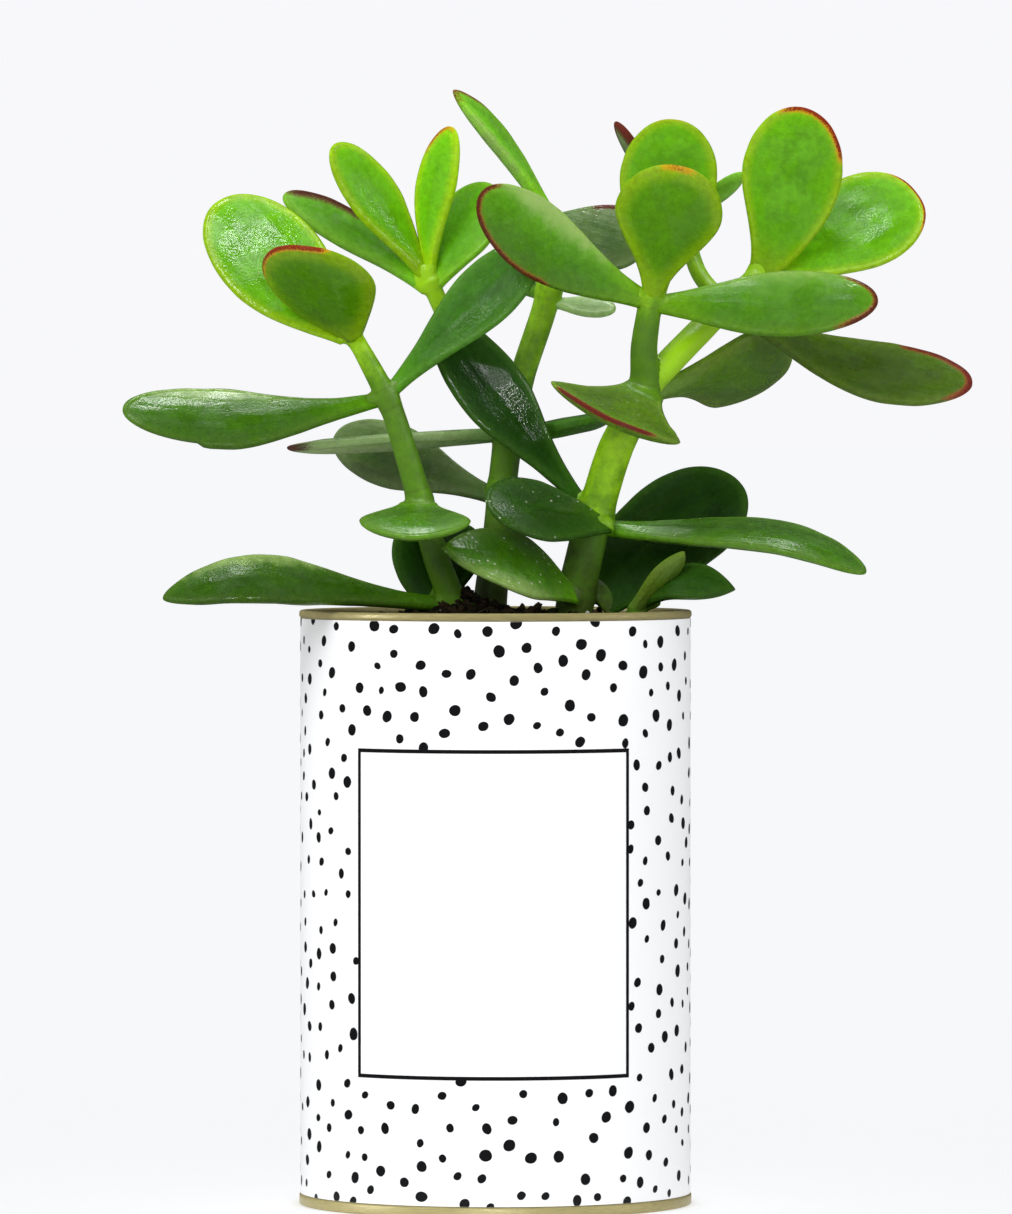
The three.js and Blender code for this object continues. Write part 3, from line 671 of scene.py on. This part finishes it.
def blade_points(leaf, t, across, rise, seed):
    """The blade's skin, ring by ring, and how far each point is to the right of the midrib."""
    up = leaf_axes(leaf)[1]
    tangent = unit(midrib(leaf, t + 0.005) - midrib(leaf, np.maximum(t - 0.005, 0)))
    lift = unit(up - tangent * (tangent @ up)[:, None])
    right = np.cross(tangent, lift)[:, None]
    lift = lift[:, None]
    half = half_widths(leaf, t, across, seed)
    depth = blade_thickness(leaf, t)[:, None] * np.where(rise > 0, UPPER_SHARE, 2 - UPPER_SHARE)
    x = (half * across)[..., None]
    z = (depth * rise + leaf.cup * half * across**2)[..., None]
    points = (midrib(leaf, t)[:, None] + x * right + z * lift).reshape(-1, 3)
    outward = unit((x * right + 6 * z * lift).reshape(-1, 3))
    swell = 0.09 * rough_at(points, 4.5, seed + 3)
    return points + outward * swell[:, None], x.ravel()


def mark_blade(mesh, leaf, points, share, across, below):
    """Tells each point how near the margin it is, how much it blushes, and where it lies."""
    _, _, side, length = leaf_axes(leaf)
    gap = outline_gap(leaf, across, share * length, length)
    middle = midrib(leaf, np.array([0.62]))[0]
    way = unit(points - middle) @ unit(leaf.blush)
    blush = smooth_step(leaf.reach - 0.15, leaf.reach + 0.15, way)
    blush *= np.clip(1.5 - gap / leaf.rim, 0, 1.08) * smooth_step(0.25, 0.4, share)
    # Share towards the blade's higher side, times shade, for the painted light, shade and sheen.
    high = leaf.shade * np.clip(1.7 * side[2], -1, 1) * across / (leaf.width / 2)
    even = np.ones(len(points))
    hold(mesh, "edge", np.column_stack([gap, blush, share]))
    hold(mesh, "blade", np.column_stack([across, share * length, below]))
    hold(mesh, "tone", np.column_stack([leaf.light * even, high, leaf.speckle * even]))


def leaf_piece(name, leaf, material, slot):
    t = np.sin(np.linspace(0, np.pi / 2, LEAF_STATIONS, endpoint=False))
    angle = turns(LEAF_SIDES)
    rise = np.sin(angle)
    points, across = blade_points(leaf, t, -np.cos(angle), rise, len(name))
    points = np.vstack([points, leaf.base, leaf.tip])
    faces = skin_faces(LEAF_STATIONS, LEAF_SIDES)
    made = piece(name + "_blade", points, faces, material, slot, [name])
    share = np.append(np.repeat(t, LEAF_SIDES), [0, 1])
    below = np.append(np.tile(0.5 - 0.5 * rise, LEAF_STATIONS), [0.5, 0.5])
    mark_blade(made.data, leaf, points, share, np.append(across, [0, 0]), below)
    return made


# Stems


def stem_material():
    n = Nodes("stem_bark")
    young, ring, _ = n.fact("growth")
    cloud = n.noise(3, detail=5, rough=0.65)
    fine = n.noise(0.4, detail=4, rough=0.7)
    age = n.sum(young, n.swing(cloud, 0.7))
    old = n.mix(n.ramp(age, 0, 0.28), (0.05, 0.085, 0.01), (0.075, 0.18, 0.01))
    green = n.mix(n.ramp(age, 0.25, 0.6), old, (0.1, 0.25, 0.004))
    colour = n.mix(n.ramp(age, 0.5, 0.95), green, (0.32, 0.61, 0.003))
    colour = n.mix(n.ramp(fine, 0.55, 0.75, 0, 0.25), colour, (0.2, 0.3, 0.05))
    scar = n.times(n.ramp(ring, 0.25, 0.75), n.ramp(young, 0.5, 0.95, 0.2, 0.05))
    colour = n.mix(scar, colour, (0.06, 0.05, 0.012))
    relief = n.bump(fine, 0.05, n.bump(cloud, 0.2))
    n.surface(
        base_color=colour, normal=relief, roughness=n.ramp(fine, 0.3, 0.7, 0.26, 0.45),
        subsurface_weight=0.12, subsurface_scale=0.0015, subsurface_radius=(0.5, 1.0, 0.1),
    )
    return n.material


def curve_at(points, t):
    """Points of a smooth curve through the given points, and its directions, at shares t."""
    points = np.asarray(points, float)
    padded = np.vstack([2 * points[0] - points[1], points, 2 * points[-1] - points[-2]])
    spans = len(points) - 1
    span = np.minimum((t * spans).astype(int), spans - 1)
    w = (t * spans - span)[:, None]
    before, start, end, after = (padded[span + i] for i in range(4))
    first, last = (end - before) / 2, (after - start) / 2
    a = 2 * start - 2 * end + first + last
    b = -3 * start + 3 * end - 2 * first - last
    place = ((a * w + b) * w + first) * w + start
    return place, unit((3 * a * w + 2 * b) * w + first)


def limb_samples(limb):
    """Centre line, direction, radius and youth along a limb, every STEM_STEP millimetres."""
    points = limb.points
    length = np.linalg.norm(np.diff(points, axis=0), axis=1).sum()
    t = np.linspace(0, 1, max(4, round(length / STEM_STEP)) + 1)
    centre, along = curve_at(points, t)
    knots = np.linspace(0, 1, len(points))
    radius = np.interp(t, knots, limb.radii)
    gaps = np.linalg.norm(centre[:, None] - points[limb.joints], axis=2)
    radius *= 1 + JOINT_SWELL * np.exp(-((gaps / JOINT_LENGTH) ** 2)).max(axis=1)
    return centre, along, radius, np.interp(t, knots, limb.young)


def tube(centre, along, wide, deep, side):
    """Points and faces of a closed tube with oval rings, wide in the direction of side."""
    side = unit(side - along * np.sum(side * along, axis=1)[:, None])
    other = np.cross(along, side)
    angle = turns(STEM_SIDES)
    rings = (
        centre[:, None]
        + (wide[:, None] * np.cos(angle))[..., None] * side[:, None]
        + (deep[:, None] * np.sin(angle))[..., None] * other[:, None]
    )
    points = np.vstack([rings.reshape(-1, 3), centre[0], centre[-1]])
    return points, skin_faces(len(centre), STEM_SIDES)


def limb_tube(limb):
    centre, along, radius, _ = limb_samples(limb)
    end = radius[-1] * np.array([0.25, 0.4])
    centre = np.vstack([centre, centre[-1] + along[-1] * end[:, None]])
    along = np.vstack([along, along[-1:], along[-1:]])
    radius = np.concatenate([radius, radius[-1] * np.array([0.72, 0.3])])
    side = np.tile(np.cross([0, 1, 0], along[0]), (len(along), 1))
    return tube(centre, along, radius, radius, side)


def collar(leaf):
    """The swelling by which a stem runs out into the foot of a leaf."""
    along, _, side, _ = leaf_axes(leaf)
    reach = np.array([-0.4, 0.6, 1.6, 2.6, 3.4, 4.0])
    centre = leaf.base + np.outer(reach, along)
    neck = leaf.width / 2 * leaf.neck
    wide = neck * np.array([1.0, 1.08, 1.0, 0.9, 0.75, 0.4])
    deep = leaf.thick / 2 * np.array([0.8, 0.95, 0.88, 0.78, 0.6, 0.3])
    return tube(centre, np.tile(along, (6, 1)), wide, deep, np.tile(side, (6, 1)))


def stem_piece(name, material):
    """A stem's limbs and the collars of its leaves, fused into one skin."""
    parts = [limb_tube(limb) for limb in STEMS[name]]
    parts += [collar(leaf) for leaf in LEAVES[name].values()]
    made = piece(name + "_bark", *joined(parts), material, "stem", [name])
    remesh = made.modifiers.new("joined", "REMESH")
    remesh.mode = "VOXEL"
    remesh.voxel_size = STEM_VOXEL * MM
    made.modifiers.new("relaxed", "SMOOTH").iterations = 5
    fused = made.evaluated_get(bpy.context.evaluated_depsgraph_get())
    mesh = bpy.data.meshes.new_from_object(fused)
    made.modifiers.clear()
    made.data = mesh
    mesh.shade_smooth()
    mark_growth(mesh, name)
    return made


def mark_growth(mesh, name):
    """Tells each point of a stem how young its bark is there and how near it is to a scar."""
    spots = np.zeros(len(mesh.vertices) * 3)
    mesh.vertices.foreach_get("co", spots)
    spots = spots.reshape(-1, 3) / MM
    nearest = np.full(len(spots), np.inf)
    young, ring = np.zeros(len(spots)), np.zeros(len(spots))
    for limb in STEMS[name]:
        centre, along, radius, youth = limb_samples(limb)
        joints = limb.points[limb.joints]
        step = np.argmin(np.linalg.norm(spots[:, None] - centre, axis=2) - radius, axis=1)
        gap = np.linalg.norm(spots - centre[step], axis=1) - radius[step]
        closer = gap < nearest
        nearest[closer] = gap[closer]
        young[closer] = youth[step][closer]
        offset = spots[:, None] - joints
        height = np.sum(offset * along[step][:, None], axis=2)
        height[np.linalg.norm(offset, axis=2) > 6] = 9
        scar = np.exp(-(((np.abs(height) - 1.9) / 0.28) ** 2)).max(axis=1)
        ring[closer] = scar[closer]
    hold(mesh, "growth", np.column_stack([young, ring, nearest]))


# Tin, label and print


def lacquer_material():
    n = Nodes("gold_lacquer")
    stretched = n.add("Mapping", {0: n.place(), 3: (1, 1, 14)}).outputs[0]
    rolling = n.noise(2.2, detail=4, where=stretched)
    spots = n.noise(0.5, detail=3)
    colour = n.mix(n.ramp(rolling, 0.35, 0.7), LACQUER, dimmed(LACQUER, 0.8))
    colour = n.mix(n.ramp(spots, 0.64, 0.75, 0, 0.5), colour, dimmed(LACQUER, 0.5))
    n.surface(
        base_color=colour, metallic=0.25, normal=n.bump(rolling, 0.02),
        roughness=n.ramp(spots, 0.3, 0.7, 0.32, 0.46),
    )
    return n.material


def paper_material():
    n = Nodes("label_paper")
    fibre = n.noise(0.25, detail=4, rough=0.7)
    cloud = n.noise(9, detail=3)
    colour = n.mix(n.ramp(fibre, 0.3, 0.75), PAPER, dimmed(PAPER, 0.97))
    colour = n.mix(n.ramp(cloud, 0.5, 0.8, 0, 0.4), colour, dimmed(PAPER, 0.975))
    relief = n.bump(fibre, 0.008, n.bump(cloud, 0.05))
    n.surface(base_color=colour, roughness=0.5, normal=relief, specular_ior_level=0.3)
    return n.material


def ink_material():
    n = Nodes("label_ink")
    cover = n.noise(0.3, detail=4, rough=0.8)
    n.surface(
        base_color=n.mix(n.ramp(cover, 0.55, 0.85), INK, WORN_INK),
        roughness=n.ramp(cover, 0.3, 0.7, 0.3, 0.4), specular_ior_level=0.25,
    )
    return n.material


def on_label(x, z):
    """A point of the print, from millimetres of label along from its front and up."""
    angle = x / LABEL_OUTER
    return INK_RADIUS * sin(angle), -INK_RADIUS * cos(angle), z


def spun(name, profile, material, slot, node):
    """A closed profile of radius and height pairs, spun round the tin's axis."""
    around = turns(ROUND_STEPS)
    points = [(r * cos(a), r * sin(a), z) for r, z in profile for a in around]
    points += points[:ROUND_STEPS]
    made = piece(name, points, grid_faces(len(profile) + 1, ROUND_STEPS), material, slot, [node])
    tidy = bmesh.new()
    tidy.from_mesh(made.data)
    bmesh.ops.remove_doubles(tidy, verts=tidy.verts, dist=1e-7)
    bmesh.ops.recalc_face_normals(tidy, faces=tidy.faces)
    tidy.to_mesh(made.data)
    tidy.free()
    made.data.set_sharp_from_angle(angle=radians(40))
    return made


def arc_of(centre, radius, start, end, steps):
    """Radius and height pairs round part of a circle, from start to end in degrees."""
    angles = [radians(start + (end - start) * k / steps) for k in range(steps + 1)]
    return [(centre[0] + radius * cos(a), centre[1] + radius * sin(a)) for a in angles]


def tin_pieces(material):
    """The wall with its rolled rim, and the bottom end with the seam that holds it."""
    rim = TIN_HEIGHT - RIM_HEIGHT
    body = [(WALL_INNER, 1), (WALL_OUTER, 1), (WALL_OUTER, rim), (TIN_RADIUS - 0.25, rim)]
    body += arc_of((TIN_RADIUS - 0.4, rim + 0.45), 0.4, -60, 0, 4)
    body += arc_of((TIN_RADIUS - 0.55, TIN_HEIGHT - 0.55), 0.55, 0, 90, 6)
    body += arc_of((WALL_INNER + 0.3, TIN_HEIGHT - 0.45), 0.45, 90, 180, 5)
    body += [(WALL_INNER - 0.15, rim + 0.25), (WALL_INNER, rim)]
    wall = spun("tin_body_wall", body, material, "tin", "tin_body")
    base = [(0.01, 0), (28.5, 0)]
    base += arc_of((29, 0.9), 0.5, -60, -10, 2)
    base += [(29.6, 1.2), (33, 1.2), (33.8, 0.5), (34.3, 0.05), (34.8, 0)]
    base += arc_of((TIN_RADIUS - 0.4, 0.4), 0.4, -90, 0, 5)
    base += arc_of((TIN_RADIUS - 0.35, SEAM_HEIGHT - 0.35), 0.35, 0, 90, 5)
    base += [(LABEL_INNER, SEAM_HEIGHT), (LABEL_INNER, 0.9), (WALL_INNER - 0.1, 0.9)]
    base += [(WALL_INNER - 0.1, SEAM_HEIGHT), (WALL_INNER - 0.6, SEAM_HEIGHT)]
    base += [(WALL_INNER - 0.8, 1.8), (29.2, 1.8), (28.2, 0.7), (0.01, 0.7)]
    return [wall, spun("tin_base_end", base, material, "tin", "tin_base")]


def label_piece(material):
    """Paper once round the wall. At the back one end laps over the other."""
    back = pi / 2
    angles = [back, back + LABEL_OVERLAP]
    angles += list(np.linspace(back + LABEL_OVERLAP, back + tau, ROUND_STEPS))
    count = len(angles)
    outer = [LABEL_OUTER + LABEL_LIFT] * 2 + [LABEL_OUTER] * ROUND_STEPS
    inner = [LABEL_INNER] * count
    rows = [(LABEL_LOW, outer), (LABEL_HIGH, outer), (LABEL_HIGH, inner), (LABEL_LOW, inner)]
    points = [(r * cos(a), r * sin(a), z) for z, radii in rows for r, a in zip(radii, angles)]
    faces = grid_faces(4, count, closed=False)
    faces += [(3 * count + k, 3 * count + k + 1, k + 1, k) for k in range(count - 1)]
    faces += [(0, count, 2 * count, 3 * count)]
    faces += [(count - 1, 4 * count - 1, 3 * count - 1, 2 * count - 1)]
    made = piece("paper_label_sheet", points, faces, material, "label", ["paper_label"])
    made.data.set_sharp_from_angle(angle=radians(30))


def spot_places(stream):
    """Centres of ink spots all round the label, no two nearer than SPOT_SPACING."""
    around = tau * LABEL_OUTER
    places = []
    for _ in range(SPOT_TRIES):
        x = stream.uniform(-around / 2, around / 2)
        z = stream.uniform(LABEL_LOW, LABEL_HIGH)
        near = (
            hypot(min(abs(x - px), around - abs(x - px)), z - pz) < SPOT_SPACING
            for px, pz in places
        )
        if not any(near):
            places.append((x, z))
    return places


def in_panel(x, z):
    return PANEL_LEFT < x < PANEL_RIGHT and PANEL_LOW < z < PANEL_HIGH


def spot_outline(x, z, stream):
    """A slightly uneven oval, cut straight where it meets the panel or the paper's edge."""
    size = stream.uniform(SPOT_SMALL, SPOT_LARGE)
    flat = stream.uniform(0.78, 0.98)
    turn = stream.gauss(0.9, 0.7)
    seed = stream.uniform(0, 50)
    outline = []
    for angle in turns(SPOT_SIDES):
        reach = size * (1 + 0.09 * noise.noise(Vector((cos(angle), sin(angle), seed))))
        a, b = reach * cos(angle), reach * flat * sin(angle)
        outline.append([
            x + a * cos(turn) - b * sin(turn),
            z + a * sin(turn) + b * cos(turn),
        ])
    for point in outline:
        point[1] = min(max(point[1], LABEL_LOW + 0.02), LABEL_HIGH - 0.02)
        if in_panel(*point):
            if not PANEL_LEFT < x < PANEL_RIGHT:
                point[0] = PANEL_LEFT if x < PANEL_LEFT else PANEL_RIGHT
            else:
                point[1] = PANEL_LOW if z < PANEL_LOW else PANEL_HIGH
    return outline


def box_outline(left, right, low, high):
    return [(left, low), (right, low), (right, high), (left, high)]


def print_piece(material):
    """The ink: spots, and the line round the plain panel."""
    stream = random.Random(41)
    outlines = [spot_outline(x, z, stream) for x, z in spot_places(stream) if not in_panel(x, z)]
    xs = np.linspace(PANEL_LEFT, PANEL_RIGHT, LINE_STEPS + 1)
    for low in (PANEL_LOW, PANEL_HIGH - LINE_WIDTH):
        high = low + LINE_WIDTH
        outlines += [box_outline(left, right, low, high) for left, right in zip(xs, xs[1:])]
    for left in (PANEL_LEFT, PANEL_RIGHT - LINE_WIDTH):
        low, high = PANEL_LOW + LINE_WIDTH, PANEL_HIGH - LINE_WIDTH
        outlines.append(box_outline(left, left + LINE_WIDTH, low, high))
    shapes = [([on_label(x, z) for x, z in line], [range(len(line))]) for line in outlines]
    piece("label_print", *joined(shapes), material, "label")


# Soil


def crumb_material():
    n = Nodes("potting_soil")
    tint = n.add("Attribute", {}, attribute_name="tint").outputs["Color"]
    fine = n.noise(0.5, detail=5, rough=0.75)
    coarse = n.noise(2.5, detail=3)
    colour = n.mix(n.ramp(fine, 0.35, 0.7, 0.15, 0.75), tint, (0.004, 0.003, 0.002))
    relief = n.bump(fine, 0.15, n.bump(coarse, 0.4))
    n.surface(base_color=colour, roughness=0.85, normal=relief, specular_ior_level=0.25)
    return n.material


def tint(mesh, colours):
    """Gives each point of the mesh a colour, for the soil's material."""
    made = mesh.attributes.new("tint", "FLOAT_COLOR", "POINT")
    flat = [(*c, 1) for c in colours]
    made.data.foreach_set("color", np.asarray(flat, np.float32).ravel())


def tinted_piece(name, parts, colours, material):
    """A piece of the soil whose parts have a colour each."""
    made = piece(name, *joined(parts), material, "soil")
    tint(made.data, [c for (points, _), c in zip(parts, colours) for _ in range(len(points))])


def soil_height(x, y):
    share = hypot(x, y) / WALL_INNER
    lumps = sin(x * 0.55 + 1.3) * cos(y * 0.47) + 0.6 * sin(x * 1.1 - y * 0.9)
    wave = noise.fractal(Vector((x, y, 0)) / 3, 0.8, 2, 4)
    level = SOIL_WALL_LEVEL + SOIL_MOUND * (1 - share * share)
    return level + 0.5 * lumps * (1 - share) + 0.55 * wave - 0.2


def soil_piece(material):
    points = []
    for i in range(1, SOIL_RINGS + 1):
        radius = SOIL_RADIUS * i / SOIL_RINGS
        around = [(radius * cos(a), radius * sin(a)) for a in turns(SOIL_SPOKES)]
        points += [(x, y, soil_height(x, y)) for x, y in around]
    points += [(x, y, SOIL_FLOOR) for x, y in around]
    points += [(0, 0, soil_height(0, 0)), (0, 0, SOIL_FLOOR)]
    faces = [face[::-1] for face in skin_faces(SOIL_RINGS + 1, SOIL_SPOKES)]
    made = piece("soil_bed", points, faces, material, "soil", ["soil"])
    shades = rough_at(points, 4, 2)
    tint(made.data, [dimmed(SOIL_TINT, 1 + 0.4 * shade) for shade in shades])


def heap_height(x, y):
    """How high the crumbs are piled above the soil."""
    return HEAP_TOP * exp(-(((x - HEAP_X) / 5) ** 2) - ((y - HEAP_Y) / 5.5) ** 2)


def crumb(middle, size, stretch, stream):
    """Points and faces of one rough grain."""
    made = bmesh.new()
    bmesh.ops.create_icosphere(made, subdivisions=2, radius=1)
    seed = Vector([stream.uniform(0, 40) for _ in range(3)])
    flat = Vector([stream.gauss(0, 1) for _ in range(3)]).normalized()
    grain = Vector([stream.gauss(0, 1) for _ in range(3)]).normalized()
    points = []
    for v in made.verts:
        p = v.co * (1 + 0.45 * noise.noise(v.co * 1.3 + seed))
        p += grain * grain.dot(p) * (stretch - 1)
        p -= flat * flat.dot(p) * 0.35
        points.append(tuple(middle + p * size))
    faces = [tuple(v.index for v in f.verts) for f in made.faces]
    made.free()
    return points, faces


def grain_place(count, feet, stream):
    """A grain's kind and place. A third are moss at a stem's foot, and a third lie in the heap."""
    kind = stream.choices(["crumb", "bark", "perlite"], [60, 30, 4])[0]
    reach = GRAIN_REACH * sqrt(stream.random())
    angle = stream.uniform(0, tau)
    x, y = reach * cos(angle), reach * sin(angle)
    if count % 3 == 0:
        kind = "moss"
        foot = feet[count % len(feet)]
        x, y = foot[0] + stream.gauss(0, 2.8), foot[1] + stream.gauss(0, 2.8)
    elif count % 3 == 1:
        x, y = HEAP_X + stream.gauss(0, 3.4), HEAP_Y + stream.gauss(0, 3.8)
    return kind, x, y


def crumbs_piece(material):
    """Loose grains on the soil: dark crumbs, bark, a little moss at the feet and perlite."""
    stream = random.Random(5)
    feet = [limbs[0].points[1] for limbs in STEMS.values()]
    parts, shades = [], []
    for count in range(GRAINS):
        kind, x, y = grain_place(count, feet, stream)
        if hypot(x, y) > GRAIN_EDGE:
            continue
        colour, size, stretch = CRUMBS[kind]
        size *= stream.uniform(0.45, 1.25)
        level = soil_height(x, y) + heap_height(x, y) * stream.uniform(0.3, 1)
        middle = Vector((x, y, level + 0.25 * size))
        parts.append(crumb(middle, size, stretch, stream))
        shades.append(dimmed(colour, stream.uniform(0.6, 1.3)))
    tinted_piece("soil_crumbs", parts, shades, material)


def root(stream):
    """Points and faces of one dry thread that wanders over the heap of crumbs."""
    x, y = stream.uniform(-20, 2), stream.uniform(-12, 2)
    turn = stream.uniform(0, tau)
    steps = []
    for _ in range(ROOT_STEPS):
        level = soil_height(x, y) + heap_height(x, y) + stream.uniform(0.2, 0.7)
        steps.append((x, y, level))
        turn += stream.gauss(0, 0.45)
        x, y = x + 0.8 * cos(turn), y + 0.8 * sin(turn)
    centre, along = curve_at(steps, np.linspace(0, 1, ROOT_RINGS))
    width = stream.uniform(0.14, 0.3) * np.linspace(1, 0.5, ROOT_RINGS)
    return tube(centre, along, width, width, np.tile((0.1, 0.2, 1), (ROOT_RINGS, 1)))


def roots_piece(material):
    stream = random.Random(11)
    parts, shades = [], []
    for _ in range(ROOTS):
        parts.append(root(stream))
        shades.append(dimmed(ROOT_TINT, stream.uniform(0.5, 1.3)))
    tinted_piece("dry_roots", parts, shades, material)


# Stage, lights and camera


def stage_floor():
    """A pale floor in a near and a far part. Only the near one shows in reflections."""
    n = Nodes("floor_white")
    n.surface(base_color=(0.85, 0.85, 0.86), roughness=0.9, specular_ior_level=0.0)
    n.surface(emission_color=(1, 1, 1.02), emission_strength=0.47)
    floors = []
    for name, inner, outer in (("near", 0, FLOOR_NEAR), ("far", FLOOR_NEAR, FLOOR_FAR)):
        around = turns(FLOOR_SIDES)
        points = [(r * cos(a), r * sin(a), 0) for r in (inner, outer) for a in around]
        mesh = bpy.data.meshes.new("floor_" + name)
        mesh.from_pydata(points, [], grid_faces(2, FLOOR_SIDES))
        mesh.materials.append(n.material)
        floor = placed("floor_" + name, mesh)
        floors.append(floor)
    floors[1].visible_glossy = False
    return floors


def soft_light(name, place, size, power, body=True, gloss=True):
    """A lit rectangle turned to the plant, for the body colours, the reflections or both."""
    data = bpy.data.lights.new(name, "AREA")
    data.shape = "RECTANGLE"
    data.size, data.size_y = size
    data.energy = power
    light = placed(name, data)
    light.location = place
    way = Vector(LIGHT_AIM) - Vector(place)
    light.rotation_euler = way.to_track_quat("-Z", "Y").to_euler()
    light.visible_diffuse = body
    light.visible_glossy = gloss
    return light


def chosen(light, things, state):
    """Lets a light reach only these things (INCLUDE), or all but these (EXCLUDE)."""
    lit = bpy.data.collections.new(light.name + "_receivers")
    for thing in things:
        lit.objects.link(thing)
    light.light_linking.receiver_collection = lit
    for member in lit.collection_objects:
        member.light_linking.link_state = state


def mixed(tree, share, first, second):
    """A shader that goes from first to second as share goes from 0 to 1."""
    made = tree.nodes.new("ShaderNodeMixShader")
    for socket, source in zip(made.inputs, (share, first, second)):
        tree.links.new(source, socket)
    return made.outputs[0]


def daylight():
    """White where the camera sees it, softer on the object, and faint in reflections."""
    world = bpy.data.worlds.new("daylight")
    world.use_nodes = True
    tree = world.node_tree
    seen = tree.nodes["Background"]
    seen.inputs["Color"].default_value = (0.939, 0.939, 0.956, 1)
    cast = tree.nodes.new("ShaderNodeBackground")
    cast.inputs["Color"].default_value = (0.98, 1, 1, 1)
    cast.inputs["Strength"].default_value = 0.55
    mirrored = tree.nodes.new("ShaderNodeBackground")
    mirrored.inputs["Strength"].default_value = 0.1
    path = tree.nodes.new("ShaderNodeLightPath").outputs
    unseen = mixed(tree, path["Is Glossy Ray"], cast.outputs[0], mirrored.outputs[0])
    both = mixed(tree, path["Is Camera Ray"], unseen, seen.outputs[0])
    tree.links.new(both, tree.nodes["World Output"].inputs[0])
    bpy.context.scene.world = world


def camera():
    """The photo's camera: far off, a little above the rim, looking slightly down."""
    data = bpy.data.cameras.new("camera")
    data.sensor_width = SENSOR
    data.lens = FOCAL / PHOTO_HEIGHT * SENSOR
    data.clip_start, data.clip_end = 0.05, 100
    made = placed("camera", data)
    made.location = CAMERA_PLACE
    made.rotation_euler = (pi / 2 - atan(LEVEL_LINE / FOCAL), 0, 0)
    bpy.context.scene.camera = made


camera()
floors = stage_floor()
daylight()

slots = {part["node"]: part["material_slot"] for part in frame["record"]["subparts"]}
leaf_materials = {look: leaf_material(look) for look in LOOKS}
pieces = {
    name: leaf_piece("leaf_" + name, leaf, leaf_materials[leaf.look], slots["leaf_" + name])
    for leaves in LEAVES.values()
    for name, leaf in leaves.items()
}
bark = stem_material()
barks = [stem_piece(name, bark) for name in STEMS]
tins = tin_pieces(lacquer_material())
label_piece(paper_material())
print_piece(ink_material())
crumbs = crumb_material()
soil_piece(crumbs)
crumbs_piece(crumbs)
roots_piece(crumbs)

for name, (place, size, power) in BODY_LIGHTS.items():
    light = soft_light(name, place, size, power, gloss=False)
    chosen(light, floors, "EXCLUDE")
for name, (place, size, power, leaves) in GLINTS.items():
    light = soft_light(name, place, size, power, body=False)
    chosen(light, [pieces[leaf] for leaf in leaves] + barks, "INCLUDE")
for name, (place, size, power, count) in TIN_LIGHTS.items():
    chosen(soft_light(name, place, size, power), tins[-count:], "INCLUDE")

bpy.context.scene.view_settings.view_transform = "Standard"
